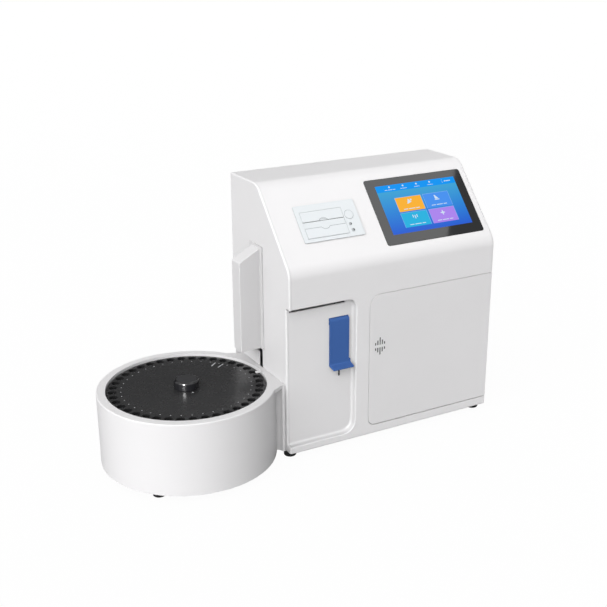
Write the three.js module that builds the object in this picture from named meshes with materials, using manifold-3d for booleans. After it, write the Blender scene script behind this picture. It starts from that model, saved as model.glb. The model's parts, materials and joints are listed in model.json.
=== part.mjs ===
// Bench-top electrolyte analyzer with a round sample turntable at its left side.
// Millimetres, +Z up. Pieces are placed from the housing's lower front left corner: X to the right,
// Y to the back, Z up from the housing's lower edge. The whole is then set on its feet, centred.
import * as THREE from 'three';
import { mergeVertices } from 'three/addons/utils/BufferGeometryUtils.js';
import Module from 'manifold-3d';

const wasm = await Module();
wasm.setup();

// Driving dimensions
const seat = 0.3; // clearance between pieces that rest on or in each other
const play = 0.6; // clearance round a piece that moves
const overrun = 4; // how far a cutting solid runs past the face that it cuts
const weld = 0.0001; // corners closer than this are one corner

const body = {
  width: 380, depth: 195, height: 411, // housing over its side covers
  frontHeight: 295.5, topDepth: 92.5, // height where the slope starts, depth of the flat top
  wall: 3, sideWall: 3.5, edgeRoll: 2.4, // cover walls and the rolled edge of the side covers
  foldRadius: 30, backRadius: 2.5, toeRadius: 2.5,
};
const foot = { radius: 10, height: 11, bevel: 1.2, inset: 10.5, setback: 21.5, stemRadius: 4 };
const base = { low: 1, thickness: 2 };
const recess = {
  right: 117.5, bottom: 12, top: 238.6, depth: 11, floor: 3, lipBevel: 1.2,
  topRadius: 14, bottomRadius: 20, fillet: 4,
  partingDrop: 3.6, partingHigh: 3.4, partingInset: 2, // gap under the fascia, along the back
};
const door = {
  left: 142.4, bottom: 15.7, top: 238.2, thickness: 3, gap: 0.9,
  topRadius: 18, bottomRadius: 13, edgeBevel: 0.6,
  rimWidth: 2.4, rimDepth: 6, rimGap: 2,
  barrelRadius: 5, barrelInset: 6.5, // hinge barrel at the right edge, its axis from the side
  pinRadius: 2, pinGrip: 8, pinReach: 7,
};
const grille = { x: 162.2, z: 151, pitch: 4.15, width: 2.3, bridge: 4.4, shortest: 4.6 };
const grilleHeightShares = [1, 1.75, 2.75, 1.75, 1];
const bay = {
  left: 148.5, fromRight: 18.5, bottom: 21, top: 232.7, fromRear: 79, wall: 2, radius: 8,
  flange: 9, flangeRight: 2,
};
const flap = {
  left: 75, width: 34, fold: 133, height: 77, thickness: 3.5, stand: 0.3, cornerRadius: 0.8,
  barrelRadius: 5.5, axleRadius: 1.2, earWidth: 5, earDepth: 8, earHeight: 12,
  lipReach: 11, lipDrop: 3, lipThickness: 3, lipOver: 3, lipBevel: 0.5, foldRadius: 2.5,
};
const probe = { radius: 1.25, tipDrop: 21, rise: 55, tipTaper: 0.6 };
const display = {
  fromPrinter: 31.6, fromRight: 12.3, low: 18.5, high: 116.3, cornerRadius: 4, thickness: 2, pocket: 1.8,
  activeLeft: 16.8, activeRight: 16.3, activeLow: 16.8, activeHigh: 86.6,
  windowMargin: 6, moduleMargin: 4, moduleDepth: 14,
};
const printer = {
  left: 43.5, width: 106.1, low: 44.1, high: 62.7, cornerRadius: 2, proud: 1.5, edgeBevel: 0.5, ledge: 3,
  lidLeft: 7.9, lidWidth: 72, lidLow: 6.1, lidHigh: 50.9, lidThickness: 3, lidGap: 0.4, axleRadius: 0.8,
  stripLow: 23, stripHigh: 34.3, stripDeep: 0.8, notchRadius: 8.5, paperGap: 0.6,
  bodyDepth: 50, bodyWall: 2, headHigh: 5, headDrop: 2,
};
const platen = { radius: 4, drop: 5.5, up: 28, earWidth: 3, axleRadius: 1.6 };
const roll = { radius: 18, width: 57, coreRadius: 6.5 };
const release = { fromRight: 16.1, up: 37.1, radius: 7.3, proud: 0.5, length: 4 };
const feedKey = { fromRight: 18, up: 10.5, radius: 2.8, proud: 0.3, length: 3 };
const lamp = { fromRight: 19.2, up: 21.1, radius: 1.8, proud: 0.3, length: 3 };
const tower = {
  reach: 36, front: 93, depth: 27, bottom: 147, outerTop: 293, wallTop: 312.6, wall: 2, edgeBevel: 1,
  flange: 8, flangeThickness: 1.5, flangeRise: 3.4, cornerRadius: 3,
};
const slot = {
  front: 91.4, width: 10.9, bottom: 112.8, windowDrop: 8, windowBack: 121.5,
  lip: 0.9, rebate: 8, // behind and below the slot the wall is thinned from inside to a lip
};
const lift = {
  x: 26, y: 103, rodSpread: 19, rodRadius: 4, screwRadius: 4,
  frameLow: 84, frameTop: 300, plate: 3, plateReach: 50, plateHalf: 27,
  blockLow: 178, blockHigh: 24, blockHalf: 25, blockDepth: 22,
  armLow: 186, armHigh: 8, armWidth: 6.2, padReach: 6, padHalf: 6,
  motorSide: 42, motorHigh: 34, motorEdge: 3,
};
const needle = { radius: 0.9, hubRadius: 3.2, hubHigh: 9, tipAboveTower: 2.5, cup: 1 };
const drum = {
  radius: 137, y: 89.5, bite: 5, height: 114.5, rim: 13.5, skin: 3.2, rimPlate: 3.5, rimRoll: 2,
  skirt: 2.5, skirtBottom: 62, baseLow: 2, baseThickness: 3, footInset: 19,
  neckHalf: 73, neckPlate: 6, neckTip: 4.5, neckEdge: 1, neckJoin: 23,
  neckWallHalf: 62.5, neckWall: 3, neckFillet: 9,
};
const drumFootAngles = { front: 225, rear: 135 };
const tray = {
  gap: 2, drop: 3.5, thickness: 5, cups: 40, cupRadius: 6.6, cupInset: 8.9,
  shelfGap: 4.5, shelfLow: 70, shelfThickness: 3, hubRadius: 15, hubLow: 64, spindleRadius: 6,
};
const knob = { radius: 19.5, height: 13.6, roundRadius: 3.4, toe: 0.7, socket: 6 };
const turnMotor = { side: 57, high: 46, edge: 5, bossRadius: 18, bossHigh: 7 };
const pointer = { length: 8, width: 5, thickness: 2, lift: 0.6, aheadShare: 0.0167 };
const rear = { thickness: 1.5 };
const vent = { rows: 9, columns: 2, width: 46, high: 3.2, pitch: 8, left: 24, fromTop: 161, spacing: 60 };
const inlet = {
  left: 60, low: 42, width: 52, high: 28, plate: 3, radius: 3, margin: 3, bodyDepth: 24,
  socketWidth: 24, socketHigh: 17, socketDeep: 16, socketEdge: 4, blade: 4, bladeHigh: 2, bladeLength: 11,
  rockerWidth: 10.5, rockerHigh: 19, rockerEdge: 4.5, rockerDeep: 7, rockerProud: 2, rockerTilt: 9,
  axleRadius: 1.2, axleReach: 2.4,
};
const ports = {
  left: 150, low: 44, width: 56, high: 20, plate: 2, margin: 3, bodyDepth: 18, holeDeep: 14,
  holes: 3, holeWidth: 13.2, holeHigh: 6, holePitch: 16.5, holeEdge: 5,
};
const pump = {
  across: 33.5, z: 188, side: 60, radius: 10, depth: 44, cavityRadius: 24.6, cavityDeep: 18,
  tubeRing: 22, tubeRadius: 2.2, tubeDrop: 52, rotorRadius: 18.5, rotorPlate: 3, rotorDeep: 16,
  rollers: 3, rollerRadius: 4.5, rollerRing: 14.6, hubRadius: 6, shaftRadius: 3, shaftLength: 12,
};
const cell = {
  fromPump: 14, fromRight: 31.5, low: 160, count: 5, gap: 1, high: 42, depth: 30, capInset: 3, capHigh: 8,
  shelf: 4, back: 8, edge: 3, edgeBevel: 0.8,
};
const pack = {
  fromLeft: 79.5, fromRight: 7.5, front: 25.7, back: 6, high: 114, radius: 7, bevel: 2,
  neckRadius: 6.5, neckHigh: 7, necks: 3, gripMargin: 28, gripDeep: 12, gripHigh: 16, gripDrop: 20,
};
const board = {
  left: 150, fromRight: 60, fromTop: 149, high: 110, thickness: 1.6,
  stand: 8, standRadius: 3, standInset: 9,
  chip: 24, chipHigh: 3, chips: 3, socketUp: 3.2, socketHigh: 9, socketDeep: 8,
};
const supply = { fromPorts: 20, fromRight: 44, depth: 62, high: 78, radius: 3, bevel: 1 };
const magnet = { z: 196, high: 26, width: 14, depth: 10, post: 8, edge: 5 };

// Facets of a whole circle, then of a corner
const sides = { fine: 72, mid: 36, round: 20, foot: 16, small: 12, tiny: 8 };
const steps = { fold: 8, corner: 4, edge: 3, neat: 2, chamfer: 1 };
const slopeAngle = Math.atan2(body.height - body.frontHeight, body.depth - body.topDepth);
const coverLeft = body.sideWall + seat;
const coverRight = body.width - body.sideWall - seat;
const bayRight = body.width - bay.fromRight;
const bayDepth = body.depth - bay.fromRear;
const displayLeft = printer.left + printer.width + display.fromPrinter;
const displayWidth = body.width - display.fromRight - displayLeft;
const drumX = drum.bite - drum.radius;
const rimInner = drum.radius - drum.rim;
const trayRadius = rimInner - tray.gap;
const cupRing = trayRadius - tray.cupInset;

// Plane outlines, counter-clockwise, with corners given as [across, up, radius]
function outline(corners, facets = steps.corner) {
  const count = corners.length;
  return corners.flatMap(([x, y, radius], i) => {
    const here = new THREE.Vector2(x, y);
    const into = here.clone().sub(new THREE.Vector2(...corners[(i + count - 1) % count])).normalize();
    const away = new THREE.Vector2(...corners[(i + 1) % count]).sub(here).normalize();
    const turn = Math.atan2(into.cross(away), into.dot(away));
    if (!radius || Math.abs(turn) < weld) return [here];
    const start = here.clone().addScaledVector(into, -radius * Math.tan(Math.abs(turn) / 2));
    const inwards = new THREE.Vector2(-into.y, into.x).multiplyScalar(Math.sign(turn) * radius);
    const centre = start.clone().add(inwards);
    return Array.from(
      { length: facets + 1 }, (_, k) => start.clone().rotateAround(centre, (turn * k) / facets));
  });
}
// Moves each edge of an outline inwards by its own distance
function inset(corners, distances) {
  const count = corners.length;
  const distance = (i) => (Array.isArray(distances) ? distances[i] : distances);
  const edges = corners.map(([x, y], i) => {
    const next = corners[(i + 1) % count];
    const along = new THREE.Vector2(next[0] - x, next[1] - y).normalize();
    return { point: new THREE.Vector2(x - along.y * distance(i), y + along.x * distance(i)), along };
  });
  return corners.map(([, , radius = 0], i) => {
    const before = edges[(i + count - 1) % count];
    const after = edges[i];
    const reach = after.point.clone().sub(before.point).cross(after.along) / before.along.cross(after.along);
    const corner = before.point.clone().addScaledVector(before.along, reach);
    return [corner.x, corner.y, radius && Math.max(radius - distance(i), 0)];
  });
}
const rectangle = (left, low, width, high, radius = 0) => [
  [left, low, radius], [left + width, low, radius],
  [left + width, low + high, radius], [left, low + high, radius],
];
const ring = (x, y, radius, count) => Array.from({ length: count }, (_, i) => {
  const angle = (2 * Math.PI * i) / count;
  return new THREE.Vector2(x + radius * Math.cos(angle), y + radius * Math.sin(angle));
});

// Prisms along each axis, with an optional rounded edge that stays inside the outline
function prism(points, depth, bevel = 0, facets = steps.edge) {
  return new THREE.ExtrudeGeometry(new THREE.Shape(points), {
    depth: depth - 2 * bevel, bevelEnabled: bevel > 0, bevelSegments: Math.round(facets),
    bevelThickness: bevel, bevelSize: bevel, bevelOffset: -bevel,
  }).translate(0, 0, bevel);
}
const alongX = new THREE.Matrix4().makeBasis(
  new THREE.Vector3(0, 1, 0), new THREE.Vector3(0, 0, 1), new THREE.Vector3(1, 0, 0));
const alongY = new THREE.Matrix4().makeBasis(
  new THREE.Vector3(1, 0, 0), new THREE.Vector3(0, 0, 1), new THREE.Vector3(0, -1, 0));
const prismX = (points, from, to, ...edge) => prism(points, to - from, ...edge)
  .applyMatrix4(alongX).translate(from, 0, 0);
const prismY = (points, from, to, ...edge) => prism(points, to - from, ...edge)
  .applyMatrix4(alongY).translate(0, to, 0);
const prismZ = (points, from, to, ...edge) => prism(points, to - from, ...edge).translate(0, 0, from);
const block = ([x0, x1], [y0, y1], [z0, z1]) => new THREE.BoxGeometry(x1 - x0, y1 - y0, z1 - z0)
  .translate((x0 + x1) / 2, (y0 + y1) / 2, (z0 + z1) / 2);
const rodX = (y, z, from, to, radius, count = sides.small) => prismX(ring(y, z, radius, count), from, to);
const rodY = (x, z, from, to, radius, count = sides.small) => prismY(ring(x, z, radius, count), from, to);
const rodZ = (x, y, from, to, radius, count = sides.small) => prismZ(ring(x, y, radius, count), from, to);

// A [radius, height] profile turned about the Z axis, closed on the axis or on itself
function turned(profile, count = sides.fine) {
  const points = profile.map(([r, z]) => new THREE.Vector2(r, z));
  if (profile[0][0] > 0) points.push(points[0].clone());
  return new THREE.LatheGeometry(points, count).rotateX(Math.PI / 2);
}
// The rounded upper edge of a turned profile
const roundedRim = (radius, height, roll) => Array.from({ length: steps.edge + 1 }, (_, k) => {
  const angle = (Math.PI * k) / (2 * steps.edge);
  return [radius - roll * (1 - Math.cos(angle)), height - roll * (1 - Math.sin(angle))];
});
// A round tube that follows points
function tube(points, radius, lengths) {
  const section = new THREE.Shape(ring(0, 0, radius, sides.tiny));
  const extrudePath = new THREE.CatmullRomCurve3(points);
  return new THREE.ExtrudeGeometry(section, { steps: lengths, extrudePath });
}

// Joins and cuts
function toSolid(geometry) {
  const bare = geometry.clone();
  bare.deleteAttribute('normal');
  bare.deleteAttribute('uv');
  const merged = mergeVertices(bare, weld);
  const { position } = merged.attributes;
  const index = merged.index.array;
  const faces = [];
  let volume = 0;
  for (let i = 0; i < index.length; i += 3) {
    const face = [index[i], index[i + 1], index[i + 2]];
    if (new Set(face).size === face.length) {
      const [a, b, c] = face.map((k) => new THREE.Vector3().fromBufferAttribute(position, k));
      volume += a.dot(b.cross(c));
      faces.push(face);
    }
  }
  const facing = volume < 0 ? faces.map(([a, b, c]) => [a, c, b]) : faces;
  return new wasm.Manifold(new wasm.Mesh({
    numProp: 3, vertProperties: new Float32Array(position.array), triVerts: new Uint32Array(facing.flat()),
  }));
}
function toGeometry(solid) {
  const mesh = solid.getMesh();
  const geometry = new THREE.BufferGeometry();
  geometry.setAttribute('position', new THREE.BufferAttribute(new Float32Array(mesh.vertProperties), 3));
  geometry.setIndex(new THREE.BufferAttribute(new Uint32Array(mesh.triVerts), 1));
  geometry.computeVertexNormals();
  return geometry;
}
const unite = (first, ...others) => toGeometry(
  others.reduce((sum, one) => sum.add(toSolid(one)), toSolid(first)));
const cut = (first, ...tools) => toGeometry(
  tools.reduce((rest, tool) => rest.subtract(toSolid(tool)), toSolid(first)));

// Finishes
const finish = (color, roughness, metalness = 0) => new THREE.MeshStandardMaterial(
  { color, roughness, metalness });
const materials = {
  shell: finish(0xe9e7e8, 0.42),
  liner: finish(0xc9cbcf, 0.5),
  bezel: finish(0x3b3c3e, 0.12),
  screen: finish(0x2f86dc, 0.2),
  printer: finish(0xe1e8ee, 0.4),
  blue: finish(0x40609a, 0.4),
  black: finish(0x17181a, 0.2),
  rubber: finish(0x101011, 0.85),
  steel: finish(0xb9bcc0, 0.3, 1),
  dark: finish(0x4b4d50, 0.45, 0.6),
  board: finish(0x1f6b3c, 0.6),
  paper: finish(0xf4f3ee, 0.85),
  pack: finish(0xdfe4ea, 0.35),
  silicone: finish(0xd9d2c4, 0.4),
  lamp: finish(0x3fae5a, 0.3),
  grey: finish(0x8d9095, 0.5),
};
function piece(name, geometry, material) {
  const mesh = new THREE.Mesh(toGeometry(toSolid(geometry)), materials[material]);
  mesh.name = name;
  return mesh;
}

// Housing outline from the side, as [depth, height, radius]
const housingCorners = [
  [0, 0, body.toeRadius],
  [body.depth, 0, 0],
  [body.depth, body.height, body.backRadius],
  [body.depth - body.topDepth, body.height, body.foldRadius],
  [0, body.frontHeight, body.foldRadius],
];
const slopeFrame = new THREE.Matrix4().makeTranslation(0, 0, body.frontHeight)
  .multiply(new THREE.Matrix4().makeRotationX(slopeAngle));
const baseTop = base.low + base.thickness;
const hinge = { x: body.width - door.barrelInset, y: door.barrelRadius };
const flapFront = recess.depth - flap.stand - flap.thickness;
const flapTop = flap.fold + flap.height;
const flapRight = flap.left + flap.width;
const flapAxle = { y: flapFront + flap.barrelRadius, z: flapTop - flap.barrelRadius };
const glassArea = rectangle(displayLeft, display.low, displayWidth, display.high, display.cornerRadius);
const activeArea = rectangle(displayLeft + display.activeLeft, display.low + display.activeLow,
  displayWidth - display.activeLeft - display.activeRight, display.activeHigh);
const printerArea = rectangle(printer.left, printer.low, printer.width, printer.high, printer.cornerRadius);
const doorRight = body.width - seat;
const doorArea = [
  [door.left, door.bottom, door.bottomRadius],
  [doorRight, door.bottom, 0],
  [doorRight, door.top, 0],
  [door.left, door.top, door.topRadius],
];
const bayArea = rectangle(bay.left, bay.bottom, bayRight - bay.left, bay.top - bay.bottom, bay.radius);
// The recess is open at the left side
const recessArea = (grow, left) => [
  [left, recess.bottom - grow, 0],
  [recess.right + grow, recess.bottom - grow, recess.bottomRadius + grow],
  [recess.right + grow, recess.top + grow, recess.topRadius + grow],
  [left, recess.top + grow, 0],
];

// Moulded front cover: top, slope, fascia, sampling recess and the frame round the door
function frontCover() {
  const { wall } = body;
  const sheet = cut(
    prismX(outline(housingCorners, steps.fold), coverLeft, coverRight),
    prismX(outline(inset(housingCorners, [-overrun, -overrun, wall, wall, wall]), steps.fold),
      coverLeft - overrun, coverRight + overrun));
  const doorHole = prismY(
    outline(inset(doorArea, [-door.gap, doorRight - coverRight - overrun, -door.gap, -door.gap])),
    -overrun, wall + overrun);
  const mouth = prismY(outline(recessArea(0, coverLeft - overrun)), -overrun, wall + overrun);
  const solid = unite(cut(sheet, doorHole, mouth), recessTub(), ...hingeBosses(), ...flapEars());
  return cut(
    solid, recessBevel(), partingGap(), hingeBore(), flapWindow(), flapBore(), ...slopeCuts());
}
function recessTub() {
  const outer = prismY(outline(recessArea(body.wall, coverLeft)), 0, recess.depth + recess.floor);
  const hollow = prismY(
    outline(recessArea(0, coverLeft - overrun - recess.fillet)),
    -overrun - recess.fillet, recess.depth, recess.fillet);
  return cut(outer, hollow);
}
function recessBevel() {
  const { lipBevel } = recess;
  return prismY(
    outline(recessArea(lipBevel, coverLeft - overrun)), -overrun, lipBevel, lipBevel, steps.chamfer);
}
function partingGap() {
  const high = recess.top - recess.partingDrop;
  return block([coverLeft + recess.partingInset, recess.right - recess.topRadius],
    [recess.depth - recess.fillet, recess.depth + recess.floor + overrun], [high - recess.partingHigh, high]);
}
function hingeBosses() {
  const across = [hinge.x - door.barrelRadius - door.pinRadius, coverRight];
  const deep = [body.wall / 2, hinge.y + door.barrelRadius];
  const { pinReach, gap, top, bottom } = door;
  return [
    block(across, deep, [top + gap, top + gap + pinReach + body.wall]),
    block(across, deep, [baseTop + seat, bottom - gap]),
  ];
}
const hingeBore = () => rodZ(hinge.x, hinge.y, door.bottom - door.gap - door.pinReach - seat,
  door.top + door.gap + door.pinReach + seat, door.pinRadius + seat);
const flapWindow = () => block(
  [flap.left - play, flapRight + play],
  [recess.depth - seat, recess.depth + recess.floor + flap.earDepth],
  [flapAxle.z - flap.barrelRadius - play, flapTop + play]);
// Two ears behind the recess carry the axle of the sampling flap
const flapEars = () => [flap.left - flap.earWidth, flapRight].map((left) => block(
  [left, left + flap.earWidth],
  [recess.depth + recess.floor / 2, recess.depth + flap.earDepth],
  [flapAxle.z - flap.earHeight / 2, flapAxle.z + flap.earHeight / 2]));
const flapBore = () => rodX(flapAxle.y, flapAxle.z,
  flap.left - flap.earWidth + seat, flapRight + flap.earWidth - seat, flap.axleRadius + seat);
// Pocket and window for the display, and the printer's cut-out, in the slope
const slopeCuts = () => [
  prismZ(outline(inset(glassArea, -seat)), -display.pocket, overrun),
  prismZ(outline(inset(activeArea, -display.windowMargin)), -body.wall - overrun, overrun),
  prismZ(outline(inset(printerArea, printer.ledge)), -body.wall - overrun, overrun),
].map((tool) => tool.applyMatrix4(slopeFrame));

// Side covers with a rolled outer edge
function sideCover(corners) {
  const whole = prismX(
    outline(corners, steps.fold), 0, body.sideWall + body.edgeRoll + overrun, body.edgeRoll);
  const beyond = [-body.depth - overrun, body.depth + overrun];
  const across = [body.sideWall, body.sideWall + body.edgeRoll + overrun * 2];
  return cut(whole, block(across, beyond, [-overrun, body.height + overrun]));
}
function leftCover() {
  const corners = [
    ...housingCorners,
    [0, recess.top, 0],
    [recess.depth, recess.top, body.edgeRoll],
    [recess.depth, recess.bottom, body.edgeRoll],
    [0, recess.bottom, 0],
  ];
  const across = [-overrun, body.sideWall + overrun];
  const slotBack = slot.front + slot.width;
  return cut(sideCover(corners),
    block(across, [slot.front, slotBack], [slot.bottom, tower.bottom]),
    block([slot.lip, body.sideWall + overrun], [slot.front, slotBack + slot.rebate],
      [slot.bottom - slot.rebate, tower.bottom]),
    block(across, [slot.front, slot.windowBack], [tower.bottom - slot.windowDrop, tower.outerTop]));
}
function rightCover() {
  const reach = hinge.x - (body.width - body.sideWall);
  const swing = Math.hypot(doorRight - hinge.x, hinge.y); // the door's front corner round its hinge
  const clear = hinge.y + Math.sqrt(Math.max(swing ** 2 - reach ** 2, 0)) + seat;
  const corners = [
    ...housingCorners,
    [0, door.top + door.gap, 0],
    [clear, door.top + door.gap, 0],
    [clear, door.bottom - door.gap, 0],
    [0, door.bottom - door.gap, 0],
  ];
  return sideCover(corners).scale(-1, 1, 1).translate(body.width, 0, 0);
}

// Rear panel with louvre slots and the cut-outs for the inlet and the data ports
const rearDepth = [body.depth - rear.thickness, body.depth];
function rearPanel() {
  const plate = block([coverLeft, coverRight], rearDepth, [base.low, body.height - body.wall - seat]);
  const through = [rearDepth[0] - overrun, rearDepth[1] + overrun];
  const cutOut = ({ left, low, width, high, margin }) => block(
    [left + margin - seat, left + width - margin + seat], through,
    [low + margin - seat, low + high - margin + seat]);
  const louvres = Array.from({ length: vent.rows * vent.columns }, (_, i) => {
    const left = vent.left + (i % vent.columns) * vent.spacing;
    const low = body.height - vent.fromTop + Math.floor(i / vent.columns) * vent.pitch;
    return block([left, left + vent.width], through, [low, low + vent.high]);
  });
  return cut(plate, cutOut(inlet), cutOut(ports), ...louvres);
}
const basePlate = () => block(
  [coverLeft, coverRight], [body.wall + seat, rearDepth[0] - seat], [base.low, baseTop]);
const footShape = (plateLow) => turned([
  [0, -foot.height], [foot.radius - foot.bevel, -foot.height], [foot.radius, -foot.height + foot.bevel],
  [foot.radius, -seat], [foot.stemRadius, -seat], [foot.stemRadius, plateLow - seat], [0, plateLow - seat],
], sides.foot);

// Door with an inner rim, a hinge barrel at its right edge and a finger grille
function doorPanel() {
  const panel = prismY(
    outline(doorArea, steps.fold), 0, door.thickness + door.edgeBevel, door.edgeBevel, steps.chamfer);
  const trimmed = cut(panel, block(
    [door.left - overrun, body.width], [door.thickness, door.thickness + overrun], [0, body.height]));
  const rimArea = inset(bayArea, door.rimGap);
  const rim = cut(
    prismY(outline(rimArea), door.thickness / 2, door.thickness + door.rimDepth),
    prismY(outline(inset(rimArea, door.rimWidth)), door.thickness, door.thickness + door.rimDepth + overrun));
  const barrel = rodZ(hinge.x, hinge.y, door.bottom, door.top, door.barrelRadius, sides.round);
  const bore = [
    [door.bottom - overrun, door.bottom + door.pinGrip],
    [door.top - door.pinGrip, door.top + overrun],
  ].map(([low, high]) => rodZ(hinge.x, hinge.y, low, high, door.pinRadius + seat));
  return cut(unite(trimmed, rim, barrel, catchPost()), ...bore, ...grilleSlots());
}
function grilleSlots() {
  const middle = (grilleHeightShares.length - 1) / 2;
  const through = [-overrun, door.thickness + overrun];
  return grilleHeightShares.flatMap((share, i) => {
    const x = grille.x + (i - middle) * grille.pitch;
    const across = [x - grille.width / 2, x + grille.width / 2];
    const reach = grille.bridge / 2 + share * grille.shortest;
    return [
      block(across, through, [grille.z + grille.bridge / 2, grille.z + reach]),
      block(across, through, [grille.z - reach, grille.z - grille.bridge / 2]),
    ];
  });
}
const postLeft = bay.left + door.rimGap + door.rimWidth;
const postDepth = door.thickness + door.rimDepth;
const catchPost = () => block([postLeft - door.rimWidth / 2, postLeft + magnet.post],
  [door.thickness / 2, postDepth], [magnet.z + magnet.edge, magnet.z + magnet.high - magnet.edge]);
const doorCatch = () => block([bay.left + seat, bay.left + seat + magnet.width],
  [postDepth + seat, postDepth + seat + magnet.depth], [magnet.z, magnet.z + magnet.high]);
const pinEnd = door.gap + door.pinReach;
const doorPin = (low, high) => rodZ(hinge.x, hinge.y, low, high, door.pinRadius);

// Moulded liner of the bay behind the door: flange, walls and back
const linerFront = body.wall + seat;
function bayLiner() {
  const flangeArea = inset(bayArea, [-bay.flange, -bay.flangeRight - bay.wall, -bay.flange, -bay.flange]);
  const flange = prismY(outline(flangeArea), linerFront, linerFront + bay.wall);
  const tub = prismY(outline(inset(bayArea, -bay.wall)), linerFront, bayDepth + bay.wall);
  return cut(unite(flange, tub), prismY(outline(bayArea), -overrun, bayDepth));
}

// Blue flap in front of the sampling probe, with its turned-out finger lip
const probeX = flap.left + flap.width / 2;
const probeY = flapFront + flap.thickness - seat - probe.radius;
function samplingFlap() {
  const back = flapFront + flap.thickness;
  const plate = block(
    [flap.left, flapRight], [flapFront, back], [flap.fold - flap.lipThickness / 2, flapAxle.z]);
  const barrel = rodX(flapAxle.y, flapAxle.z, flap.left, flapRight, flap.barrelRadius, sides.round);
  const lip = prismX(outline([
    [back, flap.fold + flap.foldRadius * 2, 0],
    [flapFront, flap.fold + flap.foldRadius * 2, 0],
    [flapFront, flap.fold, flap.foldRadius],
    [flapFront - flap.lipReach, flap.fold - flap.lipDrop, flap.cornerRadius],
    [flapFront - flap.lipReach, flap.fold - flap.lipDrop - flap.lipThickness, flap.cornerRadius],
    [back, flap.fold - flap.lipThickness, flap.cornerRadius],
  ]), flap.left, flapRight + flap.lipOver, flap.lipBevel, steps.chamfer);
  const groove = block([probeX - probe.radius - seat, probeX + probe.radius + seat],
    [probeY - probe.radius - seat, back + overrun],
    [flap.fold - flap.lipDrop - flap.lipThickness - overrun, flap.fold + probe.rise + seat]);
  const bore = rodX(flapAxle.y, flapAxle.z, flap.left - overrun, flapRight + overrun, flap.axleRadius + seat);
  return cut(unite(plate, barrel, lip), groove, bore);
}
function samplingProbe() {
  const tip = flap.fold - probe.tipDrop;
  const top = flap.fold + probe.rise;
  return turned([
    [0, tip], [probe.radius - probe.tipTaper, tip], [probe.radius, tip + probe.tipTaper * 2],
    [probe.radius, top], [0, top],
  ], sides.tiny).translate(probeX, probeY, 0);
}
const flapPin = () => rodX(flapAxle.y, flapAxle.z, flap.left - flap.earWidth + play,
  flapRight + flap.earWidth - play, flap.axleRadius, sides.tiny);

// Display, in the slope's frame: touch glass in its pocket, display module behind it
const glassBack = seat - display.pocket;
const displayGlass = () => prismZ(outline(glassArea), glassBack, glassBack + display.thickness);
const displayModule = () => prismZ(outline(inset(activeArea, -display.moduleMargin)),
  glassBack - seat - display.moduleDepth, glassBack - seat);

// Panel printer, in the slope's frame
const printerTop = seat + printer.proud;
const printerRight = printer.left + printer.width;
const lidLeft = printer.left + printer.lidLeft;
const lidRight = lidLeft + printer.lidWidth;
const lidLow = printer.low + printer.lidLow;
const stripHigh = printer.low + printer.stripHigh;
const notchAt = [(lidLeft + lidRight) / 2, printer.low + (printer.stripLow + printer.stripHigh) / 2];
const lidAxle = { up: lidLow + printer.lidThickness / 2, out: printerTop - printer.lidThickness / 2 };
const stripFloor = printerTop - printer.stripDeep;
const notch = () => rodZ(...notchAt, stripFloor, printerTop + overrun, printer.notchRadius, sides.round);
function printerFrame() {
  const gap = printer.lidGap;
  const plate = prismZ(
    outline(printerArea), seat, printerTop + printer.edgeBevel, printer.edgeBevel, steps.chamfer);
  const level = block([0, body.width], [0, body.height], [printerTop, printerTop + overrun]);
  const opening = block([lidLeft - gap, lidRight + gap], [lidLow - gap, stripHigh], [-overrun, overrun]);
  const hole = ({ fromRight, up, radius }) => rodZ(
    printerRight - fromRight, printer.low + up, -overrun, overrun, radius + seat, sides.round);
  const cheeks = [lidLeft - gap - printer.ledge, lidRight + gap].map((left) => block(
    [left, left + printer.ledge],
    [lidLow, lidLow + printer.lidThickness * 2],
    [printerTop - printer.lidThickness - seat, play]));
  const bore = rodX(lidAxle.up, lidAxle.out,
    lidLeft - gap - printer.ledge / 2, lidRight + gap + printer.ledge / 2, printer.axleRadius + seat);
  const groove = cut(
    block([lidLeft - gap, lidRight + gap], [stripHigh - overrun, printer.low + printer.lidHigh + gap],
      [stripFloor, printerTop + overrun]),
    block([lidLeft, lidRight], [stripHigh - overrun * 2, printer.low + printer.lidHigh],
      [0, printerTop + overrun * 2]));
  const holes = [release, feedKey, lamp].map(hole);
  return cut(unite(plate, ...cheeks), level, opening, bore, notch(), groove, ...holes);
}
function printerLid() {
  const half = printer.lidThickness / 2;
  const high = stripHigh - printer.paperGap;
  const plate = block([lidLeft, lidRight], [lidAxle.up, high], [lidAxle.out - half, printerTop]);
  const edge = rodX(lidAxle.up, lidAxle.out, lidLeft, lidRight, half);
  const axle = rodX(lidAxle.up, lidAxle.out, lidLeft - printer.lidGap - printer.ledge / 2 + seat,
    lidRight + printer.lidGap + printer.ledge / 2 - seat, printer.axleRadius, sides.tiny);
  const strip = block(
    [lidLeft - overrun, lidRight + overrun],
    [printer.low + printer.stripLow, high + overrun],
    [stripFloor, printerTop + overrun]);
  const platenAt = [printer.low + platen.up, -platen.drop];
  const ears = [lidLeft, lidRight - platen.earWidth].map((left) => block([left, left + platen.earWidth],
    [platenAt[0] - platen.radius, platenAt[0] + platen.radius],
    [platenAt[1] - platen.radius, lidAxle.out]));
  const bore = rodX(...platenAt, lidLeft - overrun, lidRight + overrun, platen.axleRadius + seat);
  return cut(unite(plate, edge, axle, ...ears), strip, notch(), bore);
}
function platenRoller() {
  const at = [printer.low + platen.up, -platen.drop];
  return unite(
    rodX(...at, lidLeft + platen.earWidth + seat, lidRight - platen.earWidth - seat, platen.radius),
    rodX(...at, lidLeft + seat, lidRight - seat, platen.axleRadius));
}
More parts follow.
